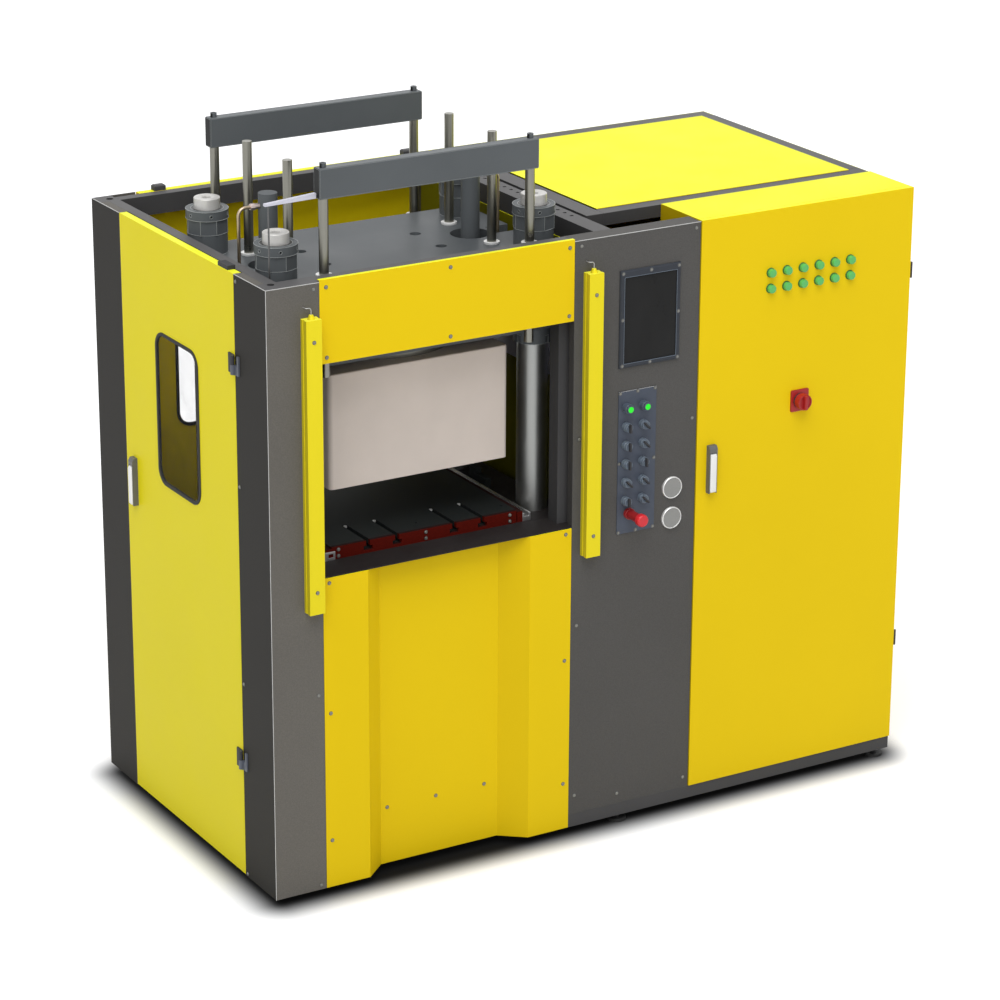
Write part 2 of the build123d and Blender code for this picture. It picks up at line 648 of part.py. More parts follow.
save("rear_guard", guard)
rear_gasket = window_y(*rear_win, 0, DEPTH - 5, DEPTH + 3)
rear_gasket -= window_y(*rear_win, GASKET, DEPTH - 9, DEPTH + 9)
rear_gasket -= guard
save("rear_fittings", rear_gasket, rear_blocks)
save("rear_pane", window_y(*rear_win, GASKET, DEPTH - 3, DEPTH + 1))


# Left door: folded pan, window gasket, pane, hinges, handle
door = box(0, SHEET, DOOR_Y0, DOOR_Y1, 3, HEIGHT)
door += box(SHEET, DOOR_T, DOOR_Y0, DOOR_Y1, HEIGHT - SHEET, HEIGHT)
door += box(SHEET, DOOR_T, DOOR_Y0, DOOR_Y0 + SHEET, 3, HEIGHT - SHEET)
door += box(SHEET, DOOR_T, DOOR_Y1 - SHEET, DOOR_Y1, 3, HEIGHT - SHEET)
door += box(SHEET, DOOR_T, DOOR_Y0 + SHEET, DOOR_Y1 - SHEET, 3, 3 + SHEET)
door_w = DOOR_Y1 - DOOR_Y0
left_win = (DOOR_Y0 + 0.3177 * door_w, DOOR_Y0 + 0.6944 * door_w)
door -= window_x(*left_win, 4, -5, 10)
save("left_door", door)
gasket = window_x(*left_win, 0, -3, 5)
gasket -= window_x(*left_win, GASKET, -9, 9)
gasket -= door
save("left_door_pane", window_x(*left_win, GASKET, -1, 3))

HINGE_Z = (HEIGHT - 293.0, 346.0)
HINGE_H = 57.0
PIN_R = 3.0
KNUCKLE_R = 6.5


def left_hinge(z0):
    mid = z0 + HINGE_H / 2
    top = z0 + HINGE_H
    fixed = box(-5, 0, PIN_Y - 30, PIN_Y - 3, z0, top)
    fixed += cyl_z(PIN_X, PIN_Y, z0, mid, KNUCKLE_R) - box(-1, 0, PIN_Y - 10, PIN_Y + 10, z0, top)
    fixed += box(PIN_X, -1, PIN_Y - 10, PIN_Y, z0, mid)
    fixed -= box(-20, 0, PIN_Y - 20, PIN_Y + 20, mid, top + 1)
    fixed += cyl_z(PIN_X, PIN_Y, mid, top, PIN_R)
    swing = box(-5, 0, PIN_Y + 3, PIN_Y + 33, z0, top)
    swing -= box(-20, 0, PIN_Y - 20, PIN_Y + 10, z0 - 1, mid + BODY_GAP)
    swing += cyl_z(PIN_X, PIN_Y, mid + BODY_GAP, top, KNUCKLE_R)
    swing += box(PIN_X, -1, PIN_Y, PIN_Y + 10, mid + BODY_GAP, top)
    swing -= cyl_z(PIN_X, PIN_Y, z0, top + 1, PIN_R + RUN_FIT)
    return fixed, swing


left_hinges = [left_hinge(z) for z in HINGE_Z]


def cab_hinge(z0):
    mid = z0 + 25
    top = z0 + 50
    leaf_x = WIDTH + CAB_LEAF
    fixed = cyl_z(CAB_PIN_X, CAB_PIN_Y, z0, mid, CAB_KNUCKLE_R)
    fixed += box(leaf_x, CAB_PIN_X, CAB_PIN_Y, 30, z0, mid)
    fixed += box(WIDTH, leaf_x, 18, 30, z0, mid)
    fixed += cyl_z(CAB_PIN_X, CAB_PIN_Y, mid, top, CAB_PIN_R)
    swing = cyl_z(CAB_PIN_X, CAB_PIN_Y, mid + BODY_GAP, top, CAB_KNUCKLE_R)
    swing += box(WIDTH, CAB_PIN_X, CAB_PIN_Y - 2.5, CAB_PIN_Y + 2, mid + BODY_GAP, top)
    swing -= cyl_z(CAB_PIN_X, CAB_PIN_Y, z0, top + 1, CAB_PIN_R + RUN_FIT)
    return fixed, swing


cab_hinges = [cab_hinge(z) for z in (HEIGHT - 284, 355.0)]
fixed_leaves = [h[0] for h in left_hinges + cab_hinges]

HANDLE_W = 28.0
HANDLE_H = 150.0


# Flush lift handle, drawn on a face that looks along -Y, centred on x
def handle(z0):
    half = HANDLE_W / 2
    z1 = z0 + HANDLE_H
    housing = box(-half, half, -9, 0, z0, z1)
    housing += box(-half, -half + 3, -18, -9, z0, z1)
    housing += box(half - 3, half, -18, -9, z0, z1)
    cap = box(-half + 3, half - 3, -18, -9, z1 - 22, z1)
    housing += cap
    wedge_pts = [(-18.0, z1), (-18.0, z1 - 10.0), (-12.0, z1)]
    wedge = make_face(Polyline(*wedge_pts, close=True))
    housing -= Pos(-half - 1, 0, 0) * extrude(Plane.YZ * wedge, HANDLE_W + 2)
    inset = half - 3 - BODY_GAP
    lever = box(-inset, inset, -LEVER_Y, -9 - BODY_GAP, z0 + 4, z1 - 30)
    lever += cyl_x(-14, z1 - 30, -inset, inset, 4.5)
    axis_z = z1 - 30
    pins = cyl_x(-14, axis_z, -half + 3 - 0.01, -inset + 2, 1.6)
    pins += cyl_x(-14, axis_z, inset - 2, half - 3 + 0.01, 1.6)
    lever -= cyl_x(-14, axis_z, -half, half, 1.6 + RUN_FIT)
    return housing + pins, lever


def on_left_door(shape, y):
    return Pos(0, y, 0) * Rot(0, 0, -90) * shape


def on_cabinet(shape, x):
    return Pos(x, CAB_FRONT, 0) * shape


housing, lever = handle(LEFT_HANDLE[1])
left_housing = on_left_door(housing, LEFT_HANDLE[0])
block = box(SHEET, SHEET + DOOR_T, DOOR_Y0 + 38, DOOR_Y0 + 98, HEIGHT, HEIGHT + 12)
save("left_door_fittings", gasket, [h[1] for h in left_hinges], left_housing, block)
save("left_door_lever", on_left_door(lever, LEFT_HANDLE[0]))


# Electrical cabinet behind its full-height door
def make_cabinet():
    y0 = CAB_FRONT + CAB_DOOR_T + 0.5
    body = box(CAB_X0, WIDTH, y0, CAB_BACK, BASE_H, CAB_TOP)
    body -= box(CAB_X0 + 2, WIDTH - 2, y0 - 1, CAB_BACK - 2, BASE_H + 2, CAB_TOP - 2)
    return body


save("cabinet", make_cabinet())
cab_door = box(CAB_X0, WIDTH, CAB_FRONT, CAB_FRONT + CAB_DOOR_T, BASE_H + 0.4, CAB_TOP)
cab_door -= box(
    CAB_X0 + 2, WIDTH - 2, CAB_FRONT + 2, CAB_FRONT + CAB_DOOR_T + 1, BASE_H + 2.4, CAB_TOP - 2
)
save("cabinet_door", cab_door)

cab_housing, cab_lever = handle(CAB_HANDLE[1])
f0 = CAB_FRONT
plate = rounded_y(SWITCH_X - 32, SWITCH_X + 32, SWITCH_Z - 34, SWITCH_Z + 34, 5, f0 - 5, f0)
plate += cyl_y(SWITCH_X, SWITCH_Z, f0 - 12, f0 - 5, 24)
plate += cyl_y(SWITCH_X, SWITCH_Z, f0 - 26, f0 - 12, 6)
cab_swing_leaves = [h[1] for h in cab_hinges]
save("cabinet_fittings", on_cabinet(cab_housing, CAB_HANDLE[0]), cab_swing_leaves, plate)
save("cabinet_lever", on_cabinet(cab_lever, CAB_HANDLE[0]))
knob = cyl_y(SWITCH_X, SWITCH_Z, f0 - 34, f0 - 12 - BODY_GAP, KNOB_R)
grip_r = KNOB_R - 2
knob += box(SWITCH_X - 7, SWITCH_X + 7, f0 - 42, f0 - 34, SWITCH_Z - grip_r, SWITCH_Z + grip_r)
knob -= cyl_y(SWITCH_X, SWITCH_Z, f0 - 28, f0 - 11, 6 + RUN_FIT)
save("main_switch", knob)


def make_lamp(px, pz):
    lens = cyl_y(px, pz, f0 - 16, f0 - 4, 13)
    lens = chamfer(lens.edges().sort_by(Axis.Y)[0], 2)
    return lens + cyl_y(px, pz, f0 - 4, f0, 15)


lamp_x0 = SWITCH_X - 120
lamps = [make_lamp(lamp_x0 + LAMP_PITCH * i, pz) for pz in LAMP_Z for i in range(6)]
save("pilot_lamps", lamps)


# Touch screen: bevelled bezel with a recessed glass front
def make_bezel():
    x0, x1, z0, z1 = SCREEN
    plate = box(x0, x1, -8, 0, z0, z1)
    front = plate.faces().sort_by(Axis.Y)[0]
    plate = chamfer(front.edges(), 4)
    x0, x1, z0, z1 = GLASS
    return plate - box(x0, x1, -9, 1, z0, z1)


x0, x1, z0, z1 = SWITCH_PLATE
save("control_plates", make_bezel(), box(x0, x1, -PLATE_T, 0, z0, z1))
x0, x1, z0, z1 = GLASS
save("touch_screen", box(x0, x1, -5, 0, z0, z1))
cover_discs = [cyl_y(DISC_X, z, -8, 0, 34) - cyl_y(DISC_X, z, -9, -6.5, 31) for z in DISC_Z]


# Operator devices on the switch plate
def make_collar(px, pz, y1, r, bore):
    return tube_y(px, pz, y1, -PLATE_T, r, bore)


collars = []
for px in OPS_X:
    collars.append(make_collar(px, BUTTON_Z, -24, 14.5, 11 + RUN_FIT))
    for pz in OPS_Z:
        collars.append(make_collar(px, pz, -18, 14, 8 + RUN_FIT))
collars.append(make_collar(ESTOP_X, ESTOP_Z, -16, 17, 14 + RUN_FIT))
save("panel_rings", collars, cover_discs)

for i, px in enumerate(OPS_X):
    cap = cyl_y(px, BUTTON_Z, -32, -10, 11)
    cap = chamfer(cap.edges().sort_by(Axis.Y)[0], 1)
    save(f"push_button_{i + 1}", cap)


def make_selector(px, pz, turned):
    body = cyl_y(px, pz, -26, -18 - BODY_GAP, 12.5)
    body += cyl_y(px, pz, -18 - BODY_GAP, -5, 8)
    grip = Pos(0, -31, 0) * Box(8, 10, 27)
    grip = chamfer(grip.edges().filter_by(Axis.Y), 2)
    grip = Pos(px, 0, pz) * Rot(0, -45 if turned else 0, 0) * grip
    return body + grip


number = 0
for col, px in enumerate(OPS_X):
    for row, pz in enumerate(OPS_Z):
        number += 1
        save(f"selector_{number:02d}", make_selector(px, pz, TURNED[col][row]))

stop = cyl_y(ESTOP_X, ESTOP_Z, -66, -10, 14)
head = cyl_y(ESTOP_X, ESTOP_Z, ESTOP_Y, -66, 20)
head = chamfer(head.edges().sort_by(Axis.Y)[0], 4)
save("emergency_stop", stop + head)


# Safety light curtains, each with a gland at its top
def make_curtain(x0):
    x1 = x0 + CURTAIN_W
    bar = box(x0, x1, CURTAIN_Y, 0, CURTAIN_Z0, CURTAIN_Z1)
    bar -= box(x0 - 1, x0 + 2, -22, -12, CURTAIN_Z0 - 1, CURTAIN_Z1 + 1)
    bar -= box(x1 - 2, x1 + 1, -22, -12, CURTAIN_Z0 - 1, CURTAIN_Z1 + 1)
    gland = Pos(x0 + CURTAIN_W / 2, CURTAIN_Y / 2, CURTAIN_Z1 + 6) * Cone(11, 6, 12)
    return bar + gland


# Lead from the gland up, aside and back into the sheet behind the curtain
def make_lead(x0):
    cx = x0 + CURTAIN_W / 2
    cy = CURTAIN_Y / 2
    z0 = CURTAIN_Z1 + 12
    route = [(cx, cy, z0), (cx, cy, z0 + 20), (cx - 16, cy, z0 + 20), (cx - 16, 0, z0 + 20)]
    path = FilletPolyline(*route, radius=7.5)
    section = Plane(origin=(cx, cy, z0), z_dir=(0, 0, 1)) * Circle(LEAD_R)
    return sweep(section, path=path)


save("light_curtains", [make_curtain(x) for x in CURTAINS])
save("curtain_leads", [make_lead(x) for x in CURTAINS])

# Sheet screws, in rows that follow the sheets' edges
TOP_ROW = HEIGHT - 17.0
FOLD_ROW = HEADER_Z0 + 18.0
PANEL_ROW = HEIGHT - 604.0
SILL_ROW = SILL_Z - 19.0
LOW_ROW = SILL_Z - 422.0
FOOT_ROW = 150.0
panel_screw_x = (PANEL_X0 + 22, PANEL_X1 - 16)
front_screws = [(COVER_W - 18, z) for z in (TOP_ROW, HEIGHT / 3, 15.0)]
front_screws += [(x, z) for x in panel_screw_x for z in (TOP_ROW, PANEL_ROW)]
front_screws += [(x, BASE_H + 34) for x in (PANEL_X0 + 174, PANEL_X1 - 19)]
front_screws += [(PANEL_X0 + 20, z) for z in (0.356 * HEIGHT, BASE_H + 62)]
header_screw_x = (OPEN_X0 + 21, (OPEN_X0 + OPEN_X1) / 2 + 3, OPEN_X1 - 17)
front_screws += [(x, z) for x in header_screw_x for z in (TOP_ROW, FOLD_ROW)]
front_screws += [(OPEN_X0 + 20, z) for z in (SILL_ROW, LOW_ROW, FOOT_ROW)]
front_screws += [(OPEN_X1 - 20, z) for z in (SILL_ROW, LOW_ROW, FOOT_ROW)]
recess_screws = [(XC + dx, FOOT_ROW + 32) for dx in (-166, 0, 167)]
side_pitch = (HEIGHT - 30) / 3
side_screws = [(DOOR_Y0 - 16, 11 + side_pitch * i) for i in range(4)]


def rim_places(x0, x1, z0, z1):
    # Corners and edge middles of an upright rectangle, without its centre
    xs = (x0, (x0 + x1) / 2, x1)
    zs = (z0, (z0 + z1) / 2, z1)
    return [(x, z) for x in xs for z in zs if (x, z) != (xs[1], zs[1])]


def plate_places(rect, margin):
    x0, x1, z0, z1 = rect
    return rim_places(x0 + margin, x1 - margin, z0 + margin, z1 - margin)


bezel_screws = plate_places(SCREEN, 8)
plate_screws = plate_places(SWITCH_PLATE, 5)
curtain_screws = [
    (x0 + CURTAIN_W / 2, z) for x0 in CURTAINS for z in (CURTAIN_Z1 - 64, CURTAIN_Z0 + 66)
]
octagon = extrude(RegularPolygon(4.5, 8), 2.5)
small_octagon = extrude(RegularPolygon(3.4, 8), 2.0)


def screw_front(px, pz, y=0.0, small=False):
    head = small_octagon if small else octagon
    return Pos(px, y, pz) * Rot(90, 0, 0) * head


def screw_left(py, pz):
    return Pos(0, py, pz) * Rot(0, -90, 0) * octagon


screws = [screw_front(px, pz) for px, pz in front_screws]
screws += [screw_front(px, pz, RECESS_DEPTH) for px, pz in recess_screws]
screws += [screw_front(px, pz, -8.0, True) for px, pz in bezel_screws]
screws += [screw_front(px, pz, -PLATE_T, True) for px, pz in plate_screws]
screws += [screw_front(px, pz, CURTAIN_Y) for px, pz in curtain_screws]
screws += [screw_left(py, pz) for py, pz in side_screws]
for dx in (22 - PLATEN_HX, 0, PLATEN_HX - 26):
    for dz in (28, 9):
        screws.append(screw_front(XC + dx, SILL_Z + dz, STRIP_Y0))
save("sheet_fixings", screws, fixed_leaves)
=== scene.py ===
"""Finishes, studio and fine pieces of a four-column rubber vulcanizing press."""

import json
import math

import bmesh
import bpy
import numpy as np
from bpy.props import FloatProperty, FloatVectorProperty, IntProperty, PointerProperty
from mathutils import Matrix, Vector


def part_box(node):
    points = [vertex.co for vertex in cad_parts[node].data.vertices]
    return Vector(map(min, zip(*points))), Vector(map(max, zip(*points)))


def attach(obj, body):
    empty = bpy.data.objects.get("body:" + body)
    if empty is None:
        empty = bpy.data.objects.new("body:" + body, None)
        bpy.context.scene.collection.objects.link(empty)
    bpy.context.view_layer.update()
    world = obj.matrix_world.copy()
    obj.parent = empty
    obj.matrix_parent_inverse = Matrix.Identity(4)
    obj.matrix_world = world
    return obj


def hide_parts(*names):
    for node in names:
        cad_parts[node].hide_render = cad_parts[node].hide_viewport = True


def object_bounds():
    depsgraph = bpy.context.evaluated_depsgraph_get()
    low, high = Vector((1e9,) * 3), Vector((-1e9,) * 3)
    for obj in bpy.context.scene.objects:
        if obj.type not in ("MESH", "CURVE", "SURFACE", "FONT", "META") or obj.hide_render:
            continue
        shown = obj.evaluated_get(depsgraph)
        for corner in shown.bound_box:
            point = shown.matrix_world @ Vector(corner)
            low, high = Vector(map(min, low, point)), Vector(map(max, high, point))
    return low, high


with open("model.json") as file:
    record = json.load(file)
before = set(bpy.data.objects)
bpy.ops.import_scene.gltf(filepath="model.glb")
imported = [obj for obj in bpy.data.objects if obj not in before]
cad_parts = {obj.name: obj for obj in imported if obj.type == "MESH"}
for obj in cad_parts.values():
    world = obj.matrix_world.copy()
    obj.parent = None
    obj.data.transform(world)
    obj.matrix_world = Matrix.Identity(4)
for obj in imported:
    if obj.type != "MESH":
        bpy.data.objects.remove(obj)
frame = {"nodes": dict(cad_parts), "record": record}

bl_info = {
    "name": "Rubber Vulcanizing Press",
    "version": (1, 0, 0),
    "blender": (4, 5, 0),
    "location": "3D View > Sidebar > Press",
    "description": "Finishes and fine pieces of a four-column rubber vulcanizing press",
    "category": "Object",
}

CAD_BOX = [list(corner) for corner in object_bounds()]
NODES = frame["nodes"]
CARRIER = {
    node: body for body, held in frame["record"]["behaviour"]["bodies"].items() for node in held
}

# The photograph's camera, solved from the edges of the enclosure
CAMERA_PLACE = (-5.3032, -8.8056, 4.6166)
CAMERA_AZIMUTH = -30.053
CAMERA_ELEVATION = 19.609
CAMERA_LENS = 126.95
CAMERA_SHIFT = (0.05, -0.015)

# A millimetre in the frame's metres
MM = 0.001

# Smallest corner of a rounded rectangle, in millimetres
SMALLEST_CORNER = 0.05

# Points nearer than this are one, in metres
SAME_POINT = 0.000002

# A direction that none of the drawn lines has
ASIDE = (0.57, 0.31, 0.76)

# Edges sharper than this stay sharp, in degrees
CREASE = 38


# Reading the frame


def solid_labels(node):
    """Points of a CAD node, its triangles, and the solid that each point belongs to.

    Corners that share a place are one point. Each point then takes the lowest label
    of its triangles until nothing changes, so a label names one solid.
    """
    mesh = NODES[node].data
    co = np.empty(len(mesh.vertices) * 3)
    mesh.vertices.foreach_get("co", co)
    corners = np.empty(len(mesh.loops), int)
    mesh.loops.foreach_get("vertex_index", corners)
    co = co.reshape(-1, 3)
    corners = corners.reshape(-1, 3)
    _, merged = np.unique(np.round(co, 6), axis=0, return_inverse=True)
    merged = merged.reshape(-1)
    faces = merged[corners]
    label = np.arange(merged.max() + 1)
    while True:
        low = label[faces].min(axis=1)
        new = label.copy()
        for column in range(3):
            np.minimum.at(new, faces[:, column], low)
        if (new == label).all():
            break
        label = new
    return co, corners, label[merged]


def solid_boxes(node):
    """Box of each separate solid of a CAD node."""
    co, _, owner = solid_labels(node)
    return [(co[owner == k].min(axis=0), co[owner == k].max(axis=0)) for k in np.unique(owner)]


def middle(box):
    """Centre of a (lowest, highest) box."""
    return (np.asarray(box[0]) + np.asarray(box[1])) / 2


def size(box):
    """Width, depth and height of a (lowest, highest) box, in millimetres."""
    return (np.asarray(box[1]) - np.asarray(box[0])) / MM


def front_centre(box):
    """Middle of a box's back face, from where a piece is drawn towards the front."""
    centre = middle(box)
    return np.array([centre[0], box[1][1], centre[2]])


# Surfaces worked out with numpy


def turned(profile, count=48):
    """Rows of a surface of revolution about local Z, from a profile in millimetres.

    Each (radius, height) of the profile is carried round a full circle:
    (r cos a, r sin a, h). A third number gives the row flat sides instead: the
    radius is then multiplied by cos(p/n) / cos((a mod 2p/n) - p/n) for n sides.
    """
    rows = np.array([(*row, 0.0)[:3] for row in profile], float)
    angle = np.linspace(0, 2 * math.pi, count, endpoint=False)[None, :]
    sides = np.maximum(rows[:, 2:3], 1.0)
    half = math.pi / np.maximum(sides, 3.0)
    flat = np.cos(half) / np.cos(np.mod(angle, 2 * half) - half)
    radius = rows[:, :1] * np.where(sides > 1.0, flat, 1.0)
    height = np.repeat(rows[:, 1:2], count, axis=1)
    return MM * np.stack([radius * np.cos(angle), radius * np.sin(angle), height], axis=-1)


def rounded(width, height, corner, profile, count=7):
    """Rows of rounded rectangles, one for each (inset, depth) in millimetres.

    Each row is the rectangle drawn in by the inset on every side, with quarter
    circles of radius (corner - inset) at its corners, at that depth along local Z.
    """
    profile = np.asarray(profile, float)
    quarter = np.linspace(0, math.pi / 2, count)
    angle = (np.arange(4)[:, None] * math.pi / 2 + quarter[None, :]).ravel()[None, :]
    sx = np.repeat([1, -1, -1, 1], count)[None, :]
    sy = np.repeat([1, 1, -1, -1], count)[None, :]
    inset, depth = profile[:, :1], profile[:, 1:2]
    r = np.maximum(corner - inset, SMALLEST_CORNER)
    x = sx * (width / 2 - inset - r) + r * np.cos(angle)
    y = sy * (height / 2 - inset - r) + r * np.sin(angle)
    return MM * np.stack([x, y, np.repeat(depth, 4 * count, axis=1)], axis=-1)


def rod(start, end, radius, count=10):
    """Two circles of that radius, round the line from start to end."""
    start, end = np.asarray(start, float), np.asarray(end, float)
    along = (end - start) / np.linalg.norm(end - start)
    side = np.cross(along, ASIDE)
    side /= np.linalg.norm(side)
    over = np.cross(along, side)
    angle = np.linspace(0, 2 * math.pi, count, endpoint=False)[:, None]
    circle = radius * (np.cos(angle) * side + np.sin(angle) * over)
    return np.stack([circle + start, circle + end])


def edge_ends(node, low=40.0, high=100.0):
    """Starts and ends of a CAD node's outer edges whose faces meet between two angles.

    Two triangles share an edge where they have the same pair of merged points. The
    angle between them is the arc cosine of their normals' product, and the edge is
    an outer one where the second triangle lies behind the plane of the first.
    """
    co, corners, _ = solid_labels(node)
    places, merged = np.unique(np.round(co, 6), axis=0, return_inverse=True)
    faces = merged.reshape(-1)[corners]
    spot = places[faces]
    normal = np.cross(spot[:, 1] - spot[:, 0], spot[:, 2] - spot[:, 0])
    normal /= np.maximum(np.linalg.norm(normal, axis=1), 1e-12)[:, None]
    pairs = np.sort(np.concatenate([faces[:, [0, 1]], faces[:, [1, 2]], faces[:, [2, 0]]]), axis=1)
    owner = np.tile(np.arange(len(faces)), 3)
    order = np.lexsort((pairs[:, 1], pairs[:, 0]))
    pairs, owner = pairs[order], owner[order]
    same = np.nonzero((pairs[1:] == pairs[:-1]).all(axis=1))[0]
    a, b = owner[same], owner[same + 1]
    angle = np.degrees(np.arccos(np.clip((normal[a] * normal[b]).sum(axis=1), -1, 1)))
    behind = ((spot[b].mean(axis=1) - spot[a].mean(axis=1)) * normal[a]).sum(axis=1) < 0
    kept = pairs[same][(angle > low) & (angle < high) & behind]
    return places[kept[:, 0]], places[kept[:, 1]]


def upright(rows):
    """The rows turned so that their depth runs up, and their height outwards."""
    return rows[..., [0, 2, 1]]


def sideways(rows):
    """The rows turned so that their depth runs along local X."""
    return rows[..., [2, 1, 0]]


def spun(rows, angle):
    """The rows turned by an angle about local Z."""
    c, s = math.cos(angle), math.sin(angle)
    return rows @ np.array([[c, s, 0], [-s, c, 0], [0, 0, 1]])


FACING = {
    "front": np.array([[1, 0, 0], [0, 0, -1], [0, 1, 0]], float),
    "back": np.array([[-1, 0, 0], [0, 0, 1], [0, 1, 0]], float),
    "left": np.array([[0, 0, -1], [-1, 0, 0], [0, 1, 0]], float),
    "right": np.array([[0, 0, 1], [1, 0, 0], [0, 1, 0]], float),
    "up": np.eye(3),
}


class Shape:
    """Points and faces gathered from several surfaces, for one piece."""

    def __init__(self):
        self.points = []
        self.faces = []
        self.total = 0

    def add(self, rows, place=(0, 0, 0), facing="up", ring=False):
        """Adds a grid of rows, closed round each row.

        Local Z looks the named way. The first and last rows are filled, or are
        joined to each other where the surface is a ring.
        """
        count, across = rows.shape[:2]
        r = np.arange(count if ring else count - 1)[:, None]
        c = np.arange(across)[None, :]
        r2 = (r + 1) % count
        c2 = (c + 1) % across
        quads = np.stack([r * across + c, r * across + c2, r2 * across + c2, r2 * across + c], -1)
        self.faces += [tuple(q) for q in (quads.reshape(-1, 4) + self.total).tolist()]
        if not ring:
            last = (count - 1) * across + self.total
            self.faces.append(tuple(range(self.total + across - 1, self.total - 1, -1)))
            self.faces.append(tuple(range(last, last + across)))
        self.points.append(rows.reshape(-1, 3) @ FACING[facing].T + np.asarray(place, float))
        self.total += count * across
        return self

    def lines(self, starts, ends, radius, sides=5):
        """Adds a thin bar of that radius along every line from a start to an end.

        Each bar has two rings of points, start + r (cos a u + sin a v), with u and v
        square to the line.
        """
        along = ends - starts
        along /= np.maximum(np.linalg.norm(along, axis=1), 1e-9)[:, None]
        u = np.cross(along, ASIDE)
        u /= np.linalg.norm(u, axis=1)[:, None]
        v = np.cross(along, u)
        a = np.linspace(0, 2 * math.pi, sides, endpoint=False)[None, :, None]
        ring = radius * (np.cos(a) * u[:, None, :] + np.sin(a) * v[:, None, :])
        points = np.stack([starts[:, None, :] + ring, ends[:, None, :] + ring], axis=1)
        first = self.total + np.arange(len(starts))[:, None] * 2 * sides
        k = np.arange(sides)
        k2 = (k + 1) % sides
        quads = np.stack([first + k, first + k2, first + sides + k2, first + sides + k], axis=-1)
        self.faces += [tuple(q) for q in quads.reshape(-1, 4).tolist()]
        self.faces += [tuple(q) for q in (first + k[::-1]).tolist()]
        self.faces += [tuple(q) for q in (first + sides + k).tolist()]
        self.points.append(points.reshape(-1, 3))
        self.total += len(starts) * 2 * sides
        return self

    def mesh(self, name):
        """The gathered surfaces as one mesh inside the CAD box, its faces turned outwards."""
        points = np.clip(np.concatenate(self.points), CAD_BOX[0], CAD_BOX[1])
        mesh = bpy.data.meshes.new(name)
        mesh.from_pydata(points, [], self.faces)
        work = bmesh.new()
        work.from_mesh(mesh)
        bmesh.ops.remove_doubles(work, verts=work.verts, dist=SAME_POINT)
        bmesh.ops.recalc_face_normals(work, faces=work.faces)
        work.to_mesh(mesh)
        work.free()
        return mesh


def piece(name, shape, node, finish, replaces=()):
    """A finished object of that shape, riding with a node and taking a finish."""
    mesh = shape.mesh(name)
    obj = bpy.data.objects.new(name, mesh)
    bpy.context.scene.collection.objects.link(obj)
    mesh.materials.append(bpy.data.materials[finish])
    mesh.polygons.foreach_set("use_smooth", [True] * len(mesh.polygons))
    mesh.set_sharp_from_angle(angle=math.radians(CREASE))
    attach(obj, CARRIER[node])
    if replaces:
        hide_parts(*replaces)
    return obj


# Finishes


